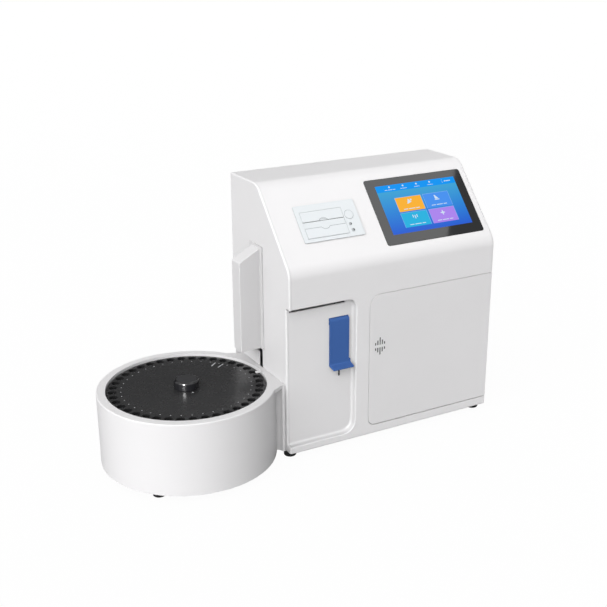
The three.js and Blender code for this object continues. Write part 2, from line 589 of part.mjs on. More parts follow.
// Body of the printer: open well for the paper roll, with the print head over its upper edge
const wellLeft = lidLeft - printer.lidGap;
const wellRight = lidRight + printer.lidGap;
const wellLow = printer.low + printer.ledge + seat + printer.bodyWall;
const wellHigh = printer.low + printer.high - printer.ledge - seat - printer.bodyWall;
const wellTop = printerTop - printer.lidThickness - play;
function printerMechanism() {
  const { bodyWall } = printer;
  const outer = block([wellLeft - bodyWall, wellRight + bodyWall], [wellLow - bodyWall, wellHigh + bodyWall],
    [-printer.bodyDepth, wellTop]);
  const well = block([wellLeft, wellRight], [wellLow, wellHigh], [-printer.bodyDepth + bodyWall, overrun]);
  const head = block(
    [wellLeft - bodyWall / 2, wellRight + bodyWall / 2],
    [stripHigh, wellHigh + bodyWall / 2],
    [wellTop - printer.headDrop - printer.headHigh, wellTop - printer.headDrop]);
  return unite(cut(outer, well), head);
}
function paperRoll() {
  const middle = (wellLeft + wellRight) / 2;
  const at = [(wellLow + wellHigh) / 2, -printer.bodyDepth + printer.bodyWall + seat + roll.radius];
  const across = [middle - roll.width / 2, middle + roll.width / 2];
  return cut(rodX(...at, ...across, roll.radius, sides.round),
    rodX(...at, across[0] - overrun, across[1] + overrun, roll.coreRadius, sides.round));
}
const buttonAt = ({ fromRight, up, radius, proud, length }) => rodZ(
  printerRight - fromRight, printer.low + up,
  printerTop + proud - length, printerTop + proud, radius, sides.round);

// Sampler: cover on the left wall, guide frame, lift block with its arm, and needle
function towerCover() {
  const { reach, front, depth, bottom, outerTop, wallTop, wall } = tower;
  const side = [
    [-reach, bottom, 0], [-seat, bottom, 0], [-seat, wallTop, 0], [-reach, outerTop, tower.cornerRadius]];
  const inner = inset(side, [-overrun, -overrun, wall, wall]);
  const back = front + depth;
  const flange = block([-tower.flangeThickness - seat, -seat], [front - tower.flange, back + tower.flange],
    [bottom, wallTop + tower.flangeRise]);
  const shell = unite(prismY(outline(side), front, back, tower.edgeBevel), flange);
  const foot = block(
    [-reach - overrun, overrun],
    [front - tower.flange - overrun, back + tower.flange + overrun],
    [bottom - overrun, bottom]);
  return cut(shell, prismY(outline(inner), front + wall, back - wall), foot);
}
// The needle stands over a cup place of the tray
const needleAngle = (2 * Math.PI * needle.cup) / tray.cups;
const needleX = drumX + cupRing * Math.cos(needleAngle);
const needleY = drum.y + cupRing * Math.sin(needleAngle);
const frameDepth = [lift.y - lift.plateHalf, lift.y + lift.plateHalf];
const frameAcross = [coverLeft, lift.plateReach];
function samplerFrame() {
  const { plate, frameLow, frameTop } = lift;
  const solid = unite(
    block([lift.plateReach - plate, lift.plateReach], frameDepth, [frameLow, frameTop]),
    block(frameAcross, frameDepth, [frameLow, frameLow + plate]),
    block(frameAcross, frameDepth, [frameTop - plate, frameTop]));
  const screwHole = rodZ(
    lift.x, lift.y, frameTop - plate - overrun, frameTop + overrun, lift.screwRadius + seat);
  return cut(solid, screwHole);
}
const guideRod = (side) => rodZ(lift.x, lift.y + side * lift.rodSpread, lift.frameLow + lift.plate + seat,
  lift.frameTop - lift.plate - seat, lift.rodRadius);
const leadScrew = () => rodZ(
  lift.x, lift.y, lift.frameLow + lift.plate + seat, lift.frameTop, lift.screwRadius);
function liftMotor() {
  const half = lift.motorSide / 2;
  const square = rectangle(lift.x - half, lift.y - half, lift.motorSide, lift.motorSide, lift.motorEdge);
  return prismZ(outline(square, steps.chamfer), lift.frameTop + seat, lift.frameTop + seat + lift.motorHigh);
}
function samplerArm() {
  const across = [lift.x - lift.blockDepth / 2, lift.x + lift.blockDepth / 2];
  const carriage = block(across, [lift.y - lift.blockHalf, lift.y + lift.blockHalf],
    [lift.blockLow, lift.blockLow + lift.blockHigh]);
  const armBack = slot.front + slot.width - play;
  const armZ = [lift.armLow, lift.armLow + lift.armHigh];
  const padLeft = needleX - lift.padHalf;
  const arm = block([padLeft, across[0] + overrun], [armBack - lift.armWidth, armBack], armZ);
  const pad = block([padLeft, -lift.padReach], [armBack - lift.armWidth, needleY + lift.padHalf], armZ);
  const through = [lift.blockLow - overrun, lift.blockLow + lift.blockHigh + overrun];
  const bore = (y, radius) => rodZ(lift.x, y, ...through, radius + seat);
  return cut(unite(carriage, arm, pad),
    bore(lift.y, lift.screwRadius),
    bore(lift.y - lift.rodSpread, lift.rodRadius),
    bore(lift.y + lift.rodSpread, lift.rodRadius),
    rodZ(needleX, needleY, armZ[0] - overrun, armZ[1] + overrun, needle.hubRadius + seat));
}
function sampleNeedle() {
  const tip = tower.bottom + needle.tipAboveTower;
  const hubTop = lift.armLow + lift.armHigh + needle.hubHigh / 2;
  return turned([
    [0, tip], [needle.radius / 2, tip], [needle.radius, tip + needle.radius * 2],
    [needle.radius, hubTop - needle.hubHigh * 2], [needle.hubRadius, hubTop - needle.hubHigh * 2],
    [needle.hubRadius, hubTop], [0, hubTop],
  ], sides.small).translate(needleX, needleY, 0);
}

// Drum, as [radius, height] about its own axis, with the neck that joins it to the housing
const wallX = -seat - drumX;
function drumShell() {
  const { radius, height, skin, rimPlate, rimRoll, skirt, skirtBottom } = drum;
  const shell = turned([
    [radius, 0], ...roundedRim(radius, height, rimRoll), [rimInner, height], [rimInner, skirtBottom],
    [rimInner + skirt, skirtBottom], [rimInner + skirt, height - rimPlate],
    [radius - skin, height - rimPlate], [radius - skin, 0],
  ], sides.fine);
  const well = rodZ(0, 0, -overrun, height + overrun, rimInner + skirt / 2, sides.fine);
  const neck = cut(unite(neckPlate(), ...[-1, 1].map(neckWall)), well);
  const beyond = [-radius - overrun, radius + overrun];
  const housingSide = block([wallX, wallX + radius], beyond, [-overrun, height + overrun]);
  return cut(unite(shell, neck, pointerTab()), housingSide);
}
// Plate level with the rim, from the rim to the housing's wall
function neckPlate() {
  const { neckHalf, neckTip, neckEdge, neckJoin, radius } = drum;
  const joinX = wallX - neckJoin;
  const joinY = Math.sqrt(radius ** 2 - joinX ** 2);
  const corners = [
    [joinX - overrun, -joinY + overrun, 0], [joinX, -joinY, 0], [wallX - neckTip, -neckHalf, neckEdge],
    [wallX + overrun, -neckHalf, 0], [wallX + overrun, neckHalf, 0], [wallX - neckTip, neckHalf, neckEdge],
    [joinX, joinY, 0], [joinX - overrun, joinY - overrun, 0],
  ];
  return prismZ(outline(corners), drum.height - drum.neckPlate, drum.height);
}
// Wall between drum and housing under the plate, turned out to a strip along the housing
function neckWall(side) {
  const { neckHalf, neckTip, neckEdge, neckWallHalf, neckWall: thick, neckFillet } = drum;
  const inner = Math.sqrt(drum.radius ** 2 - neckWallHalf ** 2) - drum.skin / 2;
  const stripX = wallX - neckTip;
  const fillet = Math.min(neckFillet, neckHalf - neckWallHalf - neckEdge);
  const corners = [
    [wallX + overrun, -neckHalf, 0], [wallX + overrun, -neckWallHalf + thick, 0],
    [inner, -neckWallHalf + thick, 0], [inner, -neckWallHalf, 0],
    [stripX, -neckWallHalf, fillet], [stripX, -neckHalf, neckEdge],
  ];
  const flipped = corners.map(([x, y, r]) => [x, -side * -y, r]);
  return prismZ(outline(side < 0 ? flipped : flipped.reverse()), 0, drum.height - drum.neckPlate / 2);
}
function pointerTab() {
  const low = drum.height - tray.drop + pointer.lift;
  return block(
    [rimInner - pointer.length, rimInner + drum.skirt / 2],
    [-pointer.width / 2, pointer.width / 2],
    [low, low + pointer.thickness]).rotateZ(-pointer.aheadShare * Math.PI);
}
function drumBase() {
  const { baseLow, baseThickness, radius, skin, height } = drum;
  const disc = rodZ(0, 0, baseLow, baseLow + baseThickness, radius - skin - seat, sides.mid);
  return cut(disc, block([wallX - seat, wallX + radius], [-radius, radius], [-overrun, height]));
}
function turnMotorBody() {
  const low = drum.baseLow + drum.baseThickness + seat;
  const { side, high, edge, bossRadius, bossHigh } = turnMotor;
  return unite(
    prismZ(outline(rectangle(-side / 2, -side / 2, side, side, edge), steps.chamfer), low, low + high),
    rodZ(0, 0, low + high - overrun, low + high + bossHigh, bossRadius, sides.round));
}
const trayTop = drum.height - tray.drop;
const motorTop = drum.baseLow + drum.baseThickness + seat + turnMotor.high + turnMotor.bossHigh;
const spindle = () => rodZ(0, 0, motorTop + seat, trayTop + knob.socket, tray.spindleRadius);
function trayDisc() {
  const disc = rodZ(0, 0, trayTop - tray.thickness, trayTop, trayRadius, sides.fine);
  const hole = (x, y, radius) => rodZ(x, y, trayTop - tray.thickness - overrun, trayTop + overrun, radius);
  const cups = ring(0, 0, cupRing, tray.cups).map(({ x, y }) => hole(x, y, tray.cupRadius));
  return cut(disc, hole(0, 0, tray.spindleRadius + seat), ...cups);
}
function trayShelf() {
  const hub = rodZ(0, 0, tray.hubLow, trayTop - tray.thickness - seat, tray.hubRadius, sides.round);
  const shelf = rodZ(
    0, 0, tray.shelfLow, tray.shelfLow + tray.shelfThickness, rimInner - tray.shelfGap, sides.mid);
  return cut(unite(hub, shelf), rodZ(0, 0, tray.hubLow - overrun, trayTop, tray.spindleRadius + seat));
}
function trayKnob() {
  const { radius, height, roundRadius, toe, socket } = knob;
  const low = trayTop + seat;
  const bore = tray.spindleRadius + seat;
  return turned([
    [0, low + socket + seat], [bore, low + socket + seat], [bore, low], [radius - toe, low],
    [radius, low + toe], ...roundedRim(radius, low + height, roundRadius), [0, low + height],
  ], sides.mid);
}

// Rear fittings
const rearFace = body.depth + seat;
const fitting = (x, z, from, to) => block([x[0], x[1]], [from, to], [z[0], z[1]]);
function powerInlet() {
  const { left, low, width, high, margin, plate, axleReach } = inlet;
  const outer = rearFace + plate;
  const flange = prismY(outline(rectangle(left, low, width, high, inlet.radius)), rearFace, outer);
  const back = fitting([left + margin, left + width - margin], [low + margin, low + high - margin],
    outer - inlet.bodyDepth, rearFace + plate / 2);
  const socketLeft = left + inlet.socketEdge;
  const socketLow = low + (high - inlet.socketHigh) / 2;
  const socket = fitting(
    [socketLeft, socketLeft + inlet.socketWidth], [socketLow, socketLow + inlet.socketHigh],
    outer - inlet.socketDeep, outer + overrun);
  const blades = [-1, 0, 1].map((k) => {
    const x = socketLeft + inlet.socketWidth / 2 + k * (inlet.socketWidth / 2 - inlet.blade);
    const z = socketLow + inlet.socketHigh / 2 - Math.abs(k) * inlet.bladeHigh;
    return fitting([x - inlet.bladeHigh / 2, x + inlet.bladeHigh / 2], [z, z + inlet.blade],
      outer - inlet.socketDeep - seat, outer - inlet.socketDeep + inlet.bladeLength);
  });
  const well = fitting([rocker.left - seat, rocker.left + inlet.rockerWidth + seat],
    [rocker.z - inlet.rockerHigh / 2 - play, rocker.z + inlet.rockerHigh / 2 + play],
    outer - inlet.rockerDeep, outer + overrun);
  const bore = rodX(rocker.y, rocker.z,
    rocker.left - axleReach, rocker.left + inlet.rockerWidth + axleReach, inlet.axleRadius + seat);
  return cut(unite(cut(unite(flange, back), socket), ...blades), well, bore);
}
const rocker = {
  left: inlet.left + inlet.width - inlet.rockerEdge - inlet.rockerWidth,
  y: rearFace + inlet.plate - inlet.axleRadius,
  z: inlet.low + inlet.high / 2,
};
function powerRocker() {
  const half = inlet.rockerHigh / 2;
  const tilt = THREE.MathUtils.degToRad(inlet.rockerTilt);
  const { rockerProud, rockerWidth, axleReach, axleRadius } = inlet;
  const end = rockerProud * 2 - half * Math.sin(tilt);
  const wedge = [
    [-rockerProud, -half], [end, -half + seat], [rockerProud, 0], [end, half - seat], [-rockerProud, half],
  ].map(([y, z]) => [y, z * Math.cos(tilt), 0]);
  const key = prismX(outline(wedge), 0, rockerWidth);
  const axle = rodX(0, 0, seat - axleReach, rockerWidth + axleReach - seat, axleRadius, sides.tiny);
  return unite(key, axle).rotateX(tilt / 2).translate(rocker.left, rocker.y, rocker.z);
}
function dataPorts() {
  const { left, low, width, high, margin, plate } = ports;
  const outer = rearFace + plate;
  const solid = unite(
    fitting([left, left + width], [low, low + high], rearFace, outer),
    fitting([left + margin, left + width - margin], [low + margin, low + high - margin],
      outer - ports.bodyDepth, rearFace + plate / 2));
  const holes = Array.from({ length: ports.holes }, (_, i) => {
    const x = left + ports.holeEdge + i * ports.holePitch;
    const z = low + (high - ports.holeHigh) / 2;
    return fitting(
      [x, x + ports.holeWidth], [z, z + ports.holeHigh], outer - ports.holeDeep, outer + overrun);
  });
  return cut(solid, ...holes);
}

// Electronics inside the housing
function mainBoard() {
  const back = rearDepth[0] - seat - board.stand;
  const front = back - board.thickness;
  const { left, high } = board;
  const width = body.width - board.fromRight - left;
  const low = body.height - board.fromTop;
  const plate = block([left, left + width], [front, back], [low, low + high]);
  const stands = [left + board.standInset, left + width - board.standInset].flatMap((x) => (
    [low + board.standInset, low + high - board.standInset].map((z) => (
      rodY(x, z, front + board.thickness / 2, back + board.stand, board.standRadius)))));
  const chips = Array.from({ length: board.chips }, (_, i) => {
    const x = left + (width * (i + 1)) / (board.chips + 1) - board.chip / 2;
    return block([x, x + board.chip], [front - board.chipHigh, front + board.thickness / 2],
      [low + (high - board.chip) / 2, low + (high + board.chip) / 2]);
  });
  const sockets = block([left + board.chip, left + width - board.chip],
    [front - board.socketDeep, front + board.thickness / 2],
    [low + board.socketUp, low + board.socketUp + board.socketHigh]);
  return unite(plate, ...stands, ...chips, sockets);
}
function powerSupply() {
  const back = rearDepth[0] - seat;
  const low = baseTop + seat;
  const left = ports.left + ports.width + supply.fromPorts;
  const width = body.width - supply.fromRight - left;
  const footprint = rectangle(left, back - supply.depth, width, supply.depth, supply.radius);
  return prismZ(outline(footprint, steps.chamfer), low, low + supply.high, supply.bevel, steps.chamfer);
}

// Fluid parts in the bay
const bayBack = bayDepth - seat;
const pumpX = bay.left + pump.across;
const pumpFront = bayBack - pump.depth;
function pumpBody() {
  const half = pump.side / 2;
  const solid = prismY(
    outline(rectangle(pumpX - half, pump.z - half, pump.side, pump.side, pump.radius)), pumpFront, bayBack);
  const cavity = rodY(
    pumpX, pump.z, pumpFront - overrun, pumpFront + pump.cavityDeep, pump.cavityRadius, sides.mid);
  const legs = [-1, 1].map((side) => {
    const x = pumpX + side * pump.tubeRing;
    const reach = pump.tubeRadius + seat;
    return block([x - reach, x + reach], [pumpFront - overrun, pumpFront + pump.cavityDeep],
      [pump.z - pump.side, pump.z]);
  });
  const shaftHole = rodY(pumpX, pump.z, pumpFront, pumpFront + pump.cavityDeep + pump.shaftLength + seat,
    pump.shaftRadius + seat);
  return cut(solid, cavity, ...legs, shaftHole);
}
function pumpTube() {
  const y = pumpFront + pump.cavityDeep - pump.tubeRadius - seat;
  const arc = Array.from({ length: sides.small + 1 }, (_, i) => {
    const angle = Math.PI - (Math.PI * i) / sides.small;
    const [across, up] = [pump.tubeRing * Math.cos(angle), pump.tubeRing * Math.sin(angle)];
    return new THREE.Vector3(pumpX + across, y, pump.z + up);
  });
  const leg = (side, drop) => new THREE.Vector3(pumpX + side * pump.tubeRing, y, pump.z - drop);
  const half = pump.tubeDrop / 2;
  return tube([leg(-1, pump.tubeDrop), leg(-1, half), ...arc, leg(1, half), leg(1, pump.tubeDrop)],
    pump.tubeRadius, sides.round);
}
function pumpRotor() {
  const front = pumpFront - seat;
  const rollers = ring(pumpX, pump.z, pump.rollerRing, pump.rollers).map(({ x, y }) => (
    rodY(x, y, front, front + pump.rotorDeep, pump.rollerRadius)));
  return unite(
    rodY(pumpX, pump.z, front - pump.rotorPlate, front + pump.rotorPlate, pump.rotorRadius, sides.round),
    rodY(pumpX, pump.z, front, front + pump.rotorDeep, pump.hubRadius),
    rodY(pumpX, pump.z, front, pumpFront + pump.cavityDeep + pump.shaftLength, pump.shaftRadius),
    ...rollers);
}
const cellLeft = pumpX + pump.side / 2 + cell.fromPump;
const cellsWidth = bayRight - cell.fromRight - cellLeft;
const cellSide = (cellsWidth + cell.gap) / cell.count - cell.gap;
const cellsBack = bayBack - cell.back;
function electrodeRack() {
  const across = [cellLeft - cell.edge, cellLeft + cellsWidth + cell.edge];
  return unite(
    block(across, [cellsBack - cell.depth - cell.edge, bayBack], [cell.low - cell.shelf, cell.low]),
    block(across, [cellsBack, bayBack], [cell.low - cell.shelf, cell.low + cell.high]));
}
function electrode(i) {
  const left = cellLeft + i * (cellSide + cell.gap);
  const deep = [cellsBack - seat - cell.depth, cellsBack - seat];
  const low = cell.low + seat;
  const footprint = rectangle(left, deep[0], cellSide, cell.depth, cell.edgeBevel);
  const top = low + cell.high;
  return unite(
    prismZ(outline(footprint, steps.chamfer), low, top),
    rodZ(left + cellSide / 2, (deep[0] + deep[1]) / 2, top - overrun, top + cell.capHigh,
      cellSide / 2 - cell.capInset));
}
function reagentPack() {
  const low = bay.bottom + seat;
  const { front, high } = pack;
  const back = bayBack - pack.back;
  const left = bay.left + pack.fromLeft;
  const width = bayRight - pack.fromRight - left;
  const footprint = rectangle(left, front, width, back - front, pack.radius);
  const box = prismZ(outline(footprint), low, low + high, pack.bevel, steps.neat);
  const necks = Array.from({ length: pack.necks }, (_, i) => rodZ(
    left + (width * (i + 1)) / (pack.necks + 1), (front + back) / 2,
    low + high - overrun, low + high + pack.neckHigh, pack.neckRadius));
  const gripTop = low + high - pack.gripDrop;
  const grip = block([left + pack.gripMargin, left + width - pack.gripMargin],
    [front - overrun, front + pack.gripDeep], [gripTop - pack.gripHigh, gripTop]);
  return cut(unite(box, ...necks), grip);
}

// The whole object
const slope = new THREE.Group();
slope.rotation.x = slopeAngle;
slope.position.z = body.frontHeight;
slope.add(
  piece('display_glass', displayGlass(), 'bezel'),
  piece('display_module', displayModule(), 'screen'),
  piece('printer_frame', printerFrame(), 'printer'),
  piece('printer_lid', printerLid(), 'printer'),
  piece('platen_roller', platenRoller(), 'rubber'),
  piece('printer_mechanism', printerMechanism(), 'dark'),
  piece('paper_roll', paperRoll(), 'paper'),
  piece('lid_release_button', buttonAt(release), 'printer'),
  piece('feed_button', buttonAt(feedKey), 'grey'),
  piece('status_lamp', buttonAt(lamp), 'lamp'),
);

const sampler = new THREE.Group();
sampler.position.set(drumX, drum.y, 0);
sampler.add(
  piece('drum_shell', drumShell(), 'shell'),
  piece('drum_base', drumBase(), 'grey'),
  piece('turntable_motor', turnMotorBody(), 'dark'),
  piece('turntable_spindle', spindle(), 'steel'),
  piece('tray_disc', trayDisc(), 'black'),
  piece('tray_shelf', trayShelf(), 'grey'),
  piece('tray_knob', trayKnob(), 'black'),
);
Object.entries(drumFootAngles).forEach(([end, degrees]) => {
  const drumFoot = piece(`drum_foot_${end}`, footShape(drum.baseLow), 'rubber');
  const reach = drum.radius - drum.footInset;
  const angle = THREE.MathUtils.degToRad(degrees);
  drumFoot.position.set(reach * Math.cos(angle), reach * Math.sin(angle), 0);
  sampler.add(drumFoot);
});

const analyzer = new THREE.Group();
analyzer.add(
  slope,
  sampler,
  piece('front_cover', frontCover(), 'shell'),
  piece('left_side_cover', leftCover(), 'shell'),
  piece('right_side_cover', rightCover(), 'shell'),
  piece('rear_panel', rearPanel(), 'shell'),
  piece('base_plate', basePlate(), 'steel'),
  piece('bay_liner', bayLiner(), 'liner'),
  piece('door_panel', doorPanel(), 'shell'),
  piece('door_pin_top', doorPin(door.top - door.pinGrip + seat, door.top + pinEnd), 'steel'),
  piece('door_pin_bottom', doorPin(door.bottom - pinEnd, door.bottom + door.pinGrip - seat), 'steel'),
  piece('door_catch', doorCatch(), 'dark'),
  piece('sampling_flap', samplingFlap(), 'blue'),
  piece('sampling_probe', samplingProbe(), 'black'),
  piece('flap_pin', flapPin(), 'steel'),
  piece('tower_cover', towerCover(), 'shell'),
  piece('sampler_frame', samplerFrame(), 'steel'),
  piece('guide_rod_front', guideRod(-1), 'steel'),
  piece('guide_rod_rear', guideRod(1), 'steel'),
  piece('lead_screw', leadScrew(), 'steel'),
  piece('lift_motor', liftMotor(), 'dark'),
  piece('sampler_arm', samplerArm(), 'grey'),
  piece('sample_needle', sampleNeedle(), 'steel'),
  piece('power_inlet', powerInlet(), 'black'),
  piece('power_rocker', powerRocker(), 'black'),
  piece('data_ports', dataPorts(), 'dark'),
  piece('main_board', mainBoard(), 'board'),
  piece('power_supply', powerSupply(), 'steel'),
  piece('pump_body', pumpBody(), 'grey'),
  piece('pump_tube', pumpTube(), 'silicone'),
  piece('pump_rotor', pumpRotor(), 'black'),
  piece('electrode_rack', electrodeRack(), 'dark'),
  piece('reagent_pack', reagentPack(), 'pack'),
);
for (let i = 0; i < cell.count; i += 1) {
  analyzer.add(piece(`electrode_${i + 1}`, electrode(i), 'silicone'));
}
[foot.inset, body.width - foot.inset].forEach((x, i) => {
  [foot.setback, body.depth - foot.setback].forEach((y, j) => {
    const corner = `${['front', 'rear'][j]}_${['left', 'right'][i]}`;
    const housingFoot = piece(`foot_${corner}`, footShape(base.low), 'rubber');
    housingFoot.position.set(x, y, 0);
    analyzer.add(housingFoot);
  });
});

// Origin on the table under the middle of the whole
analyzer.position.set(-(body.width + drumX - drum.radius) / 2, -drum.y, foot.height);

export default analyzer;
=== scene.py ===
# Looks of a bench-top electrolyte analyzer: satin white housing with a sloped touch screen,
# a panel printer, a blue sampling flap, a service door and a round satin black sample tray.
# Places in the housing are in millimetres from its lower front left corner. Places on the slope
# are in millimetres too: across from the housing's left side, and up the slope from its foot.
import json
import math

import bpy
from mathutils import Matrix, Vector


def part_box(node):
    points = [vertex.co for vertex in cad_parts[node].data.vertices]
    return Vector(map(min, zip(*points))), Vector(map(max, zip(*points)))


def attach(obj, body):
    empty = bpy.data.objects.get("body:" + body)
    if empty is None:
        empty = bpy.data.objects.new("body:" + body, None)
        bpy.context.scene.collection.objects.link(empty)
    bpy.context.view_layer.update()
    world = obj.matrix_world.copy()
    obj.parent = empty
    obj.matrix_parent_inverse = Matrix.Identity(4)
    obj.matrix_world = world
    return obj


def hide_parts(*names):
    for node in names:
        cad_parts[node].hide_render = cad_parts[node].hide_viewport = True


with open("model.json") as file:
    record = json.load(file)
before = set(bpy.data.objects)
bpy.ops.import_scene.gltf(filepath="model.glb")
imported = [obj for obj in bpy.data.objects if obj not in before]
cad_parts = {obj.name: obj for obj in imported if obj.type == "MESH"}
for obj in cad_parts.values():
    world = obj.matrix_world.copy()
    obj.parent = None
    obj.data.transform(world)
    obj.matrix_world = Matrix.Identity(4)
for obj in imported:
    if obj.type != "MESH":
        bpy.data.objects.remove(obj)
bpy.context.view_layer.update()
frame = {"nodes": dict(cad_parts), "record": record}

MM = 0.001

# Places worked out from the frame
WALL_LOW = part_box("left_side_cover")[0]
HOUSING = Vector((WALL_LOW.x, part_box("front_cover")[0].y, WALL_LOW.z))
TRAY_LOW, TRAY_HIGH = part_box("tray_disc")
TRAY_CENTRE = Vector(((TRAY_LOW.x + TRAY_HIGH.x) / 2, (TRAY_LOW.y + TRAY_HIGH.y) / 2, TRAY_HIGH.z))

# The slope and the lit area in it, in millimetres
SLOPE = {"foot": 295.5, "top": 411.0, "run": 102.5}
SLOPE_ANGLE = math.atan2(SLOPE["top"] - SLOPE["foot"], SLOPE["run"])
SLOPE_START = HOUSING + Vector((0, 0, SLOPE["foot"] * MM))
SLOPE_TO_FRAME = Matrix.Translation(SLOPE_START) @ Matrix.Rotation(SLOPE_ANGLE, 4, "X")
GLASS_FACE = 0.5
ACTIVE = {"left": 198.0, "right": 351.4, "low": 35.3, "high": 121.9}

# Edges sharper than this many degrees are rounded, and faces this near to flat are merged
SHARP = 35
NEARLY_FLAT = 0.5
# Points nearer than this, in metres, become one
WELD = 0.002 * MM
# A copy whose faces fold over themselves by more than this area, in square metres, is split first
FOLDED = 2 * MM * MM


# Working helpers
def let_go():
    if bpy.context.object and bpy.context.object.mode != "OBJECT":
        bpy.ops.object.mode_set(mode="OBJECT")
    bpy.ops.object.select_all(action="DESELECT")


def take(piece):
    let_go()
    piece.select_set(True)
    bpy.context.view_layer.objects.active = piece


def settle(piece):
    """Puts the place of a piece into its mesh, with its object at the origin."""
    take(piece)
    bpy.ops.object.transform_apply(location=True, rotation=True, scale=True)


def apply_modifiers(piece):
    take(piece)
    for modifier in list(piece.modifiers):
        bpy.ops.object.modifier_apply(modifier=modifier.name)


def soften_edges(piece, width, segments):
    """Small round on the sharp edges, and normals that keep flat faces flat."""
    if width:
        bevel = piece.modifiers.new("edge round", "BEVEL")
        bevel.width = width * MM
        bevel.segments = segments
        bevel.limit_method = "ANGLE"
        bevel.angle_limit = math.radians(SHARP)
        bevel.use_clamp_overlap = True
        bevel.miter_outer = "MITER_ARC"
    take(piece)
    bpy.ops.object.shade_smooth()
    weighted = piece.modifiers.new("flat faces", "WEIGHTED_NORMAL")
    weighted.keep_sharp = True
    apply_modifiers(piece)


def join(pieces, name):
    let_go()
    for piece in pieces:
        piece.select_set(True)
    bpy.context.view_layer.objects.active = pieces[0]
    if len(pieces) > 1:
        bpy.ops.object.join()
    pieces[0].name = name
    pieces[0].data.name = name
    return pieces[0]


def body_of(node):
    for body, nodes in frame["record"]["behaviour"]["bodies"].items():
        if node in nodes:
            return body
    raise ValueError(node)


def paint(piece, *materials):
    piece.data.materials.clear()
    for material in materials:
        piece.data.materials.append(material)


def keep(piece, body):
    settle(piece)
    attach(piece, body)


def softened_copy(node, edge, segments, convex):
    """A copy of a CAD node with merged faces and rounded edges, split into convex faces if asked."""
    source = frame["nodes"][node]
    piece = bpy.data.objects.new(f"{node}_finish", source.data.copy())
    bpy.context.collection.objects.link(piece)
    piece.matrix_world = source.matrix_world.copy()
    take(piece)
    bpy.ops.object.mode_set(mode="EDIT")
    bpy.ops.mesh.select_all(action="SELECT")
    bpy.ops.mesh.remove_doubles(threshold=WELD)
    bpy.ops.mesh.dissolve_limited(angle_limit=math.radians(NEARLY_FLAT))
    if convex:
        bpy.ops.mesh.vert_connect_concave()
    bpy.ops.object.mode_set(mode="OBJECT")
    soften_edges(piece, edge, segments)
    return piece


def folded_area(piece):
    """Square metres by which the triangles of faces that fold over themselves exceed those faces."""
    mesh = piece.data
    mesh.calc_loop_triangles()
    in_triangles = sum(triangle.area for triangle in mesh.loop_triangles)
    return in_triangles - sum(face.area for face in mesh.polygons)


def finished(node, material, edge=0.4, segments=2):
    """A smooth copy of a CAD node, with softened edges, that stands for it."""
    piece = softened_copy(node, edge, segments, convex=False)
    if folded_area(piece) > FOLDED:
        bpy.data.objects.remove(piece)
        piece = softened_copy(node, edge, segments, convex=True)
    paint(piece, material)
    keep(piece, body_of(node))
    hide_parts(node)
    return piece


def repaint(node, material):
    paint(frame["nodes"][node], material)


# Materials
# The share of its colour by which a piece lights other pieces
BOUNCE = 0.15
# Noise values between which a colour fades, and how hard a grain's bump is
TONE_FADE = (0.3, 0.7)
BUMP_STRENGTH = 0.35
# What all lit patches of the display share
SCREEN = {"strength": 0.97, "icon_strength": 0.9, "base_share": 0.02, "specular": 0.06, "roughness": 0.16}


def srgb(red, green, blue):
    """A colour read as 0 to 255, made linear."""
    values = []
    for level in (red, green, blue):
        share = level / 255
        values.append(share / 12.92 if share <= 0.04045 else ((share + 0.055) / 1.055) ** 2.4)
    return tuple(values)


def new_material(name):
    material = bpy.data.materials.new(name)
    material.use_nodes = True
    tree = material.node_tree
    return material, tree, tree.nodes["Principled BSDF"]


def add(tree, kind, **inputs):
    node = tree.nodes.new(kind)
    for key, value in inputs.items():
        node.inputs[key.replace("_", " ")].default_value = value
    return node


def noise_on_piece(tree, scale, detail=3.0, stretch=(1, 1, 1)):
    place = tree.nodes.new("ShaderNodeTexCoord")
    mapping = tree.nodes.new("ShaderNodeMapping")
    mapping.inputs["Scale"].default_value = stretch
    noise = add(tree, "ShaderNodeTexNoise", Scale=scale, Detail=detail)
    tree.links.new(place.outputs["Object"], mapping.inputs["Vector"])
    tree.links.new(mapping.outputs["Vector"], noise.inputs["Vector"])
    return noise


def spare_bounce(tree, colour):
    """The colour as seen, and a darker one for the light that it throws on other pieces."""
    path = tree.nodes.new("ShaderNodeLightPath")
    share = tree.nodes.new("ShaderNodeMapRange")
    share.inputs["To Min"].default_value = 1.0
    share.inputs["To Max"].default_value = BOUNCE
    dimmed = tree.nodes.new("ShaderNodeVectorMath")
    dimmed.operation = "SCALE"
    tree.links.new(path.outputs["Is Diffuse Ray"], share.inputs["Value"])
    tree.links.new(colour, dimmed.inputs[0])
    tree.links.new(share.outputs["Result"], dimmed.inputs["Scale"])
    return dimmed.outputs["Vector"]


def vary_colour(tree, shader, colour, amount, scale):
    noise = noise_on_piece(tree, scale)
    ramp = tree.nodes.new("ShaderNodeValToRGB")
    ramp.color_ramp.elements[0].position = TONE_FADE[0]
    ramp.color_ramp.elements[1].position = TONE_FADE[1]
    ramp.color_ramp.elements[0].color = (*[c * (1 - amount) for c in colour], 1)
    ramp.color_ramp.elements[1].color = (*colour, 1)
    tree.links.new(noise.outputs["Fac"], ramp.inputs["Fac"])
    tree.links.new(spare_bounce(tree, ramp.outputs["Color"]), shader.inputs["Base Color"])


def vary_roughness(tree, shader, roughness, amount, scale, stretch=(1, 1, 1)):
    noise = noise_on_piece(tree, scale, stretch=stretch)
    spread = tree.nodes.new("ShaderNodeMapRange")
    spread.inputs["To Min"].default_value = max(roughness - amount, 0.02)
    spread.inputs["To Max"].default_value = roughness + amount
    tree.links.new(noise.outputs["Fac"], spread.inputs["Value"])
    tree.links.new(spread.outputs["Result"], shader.inputs["Roughness"])


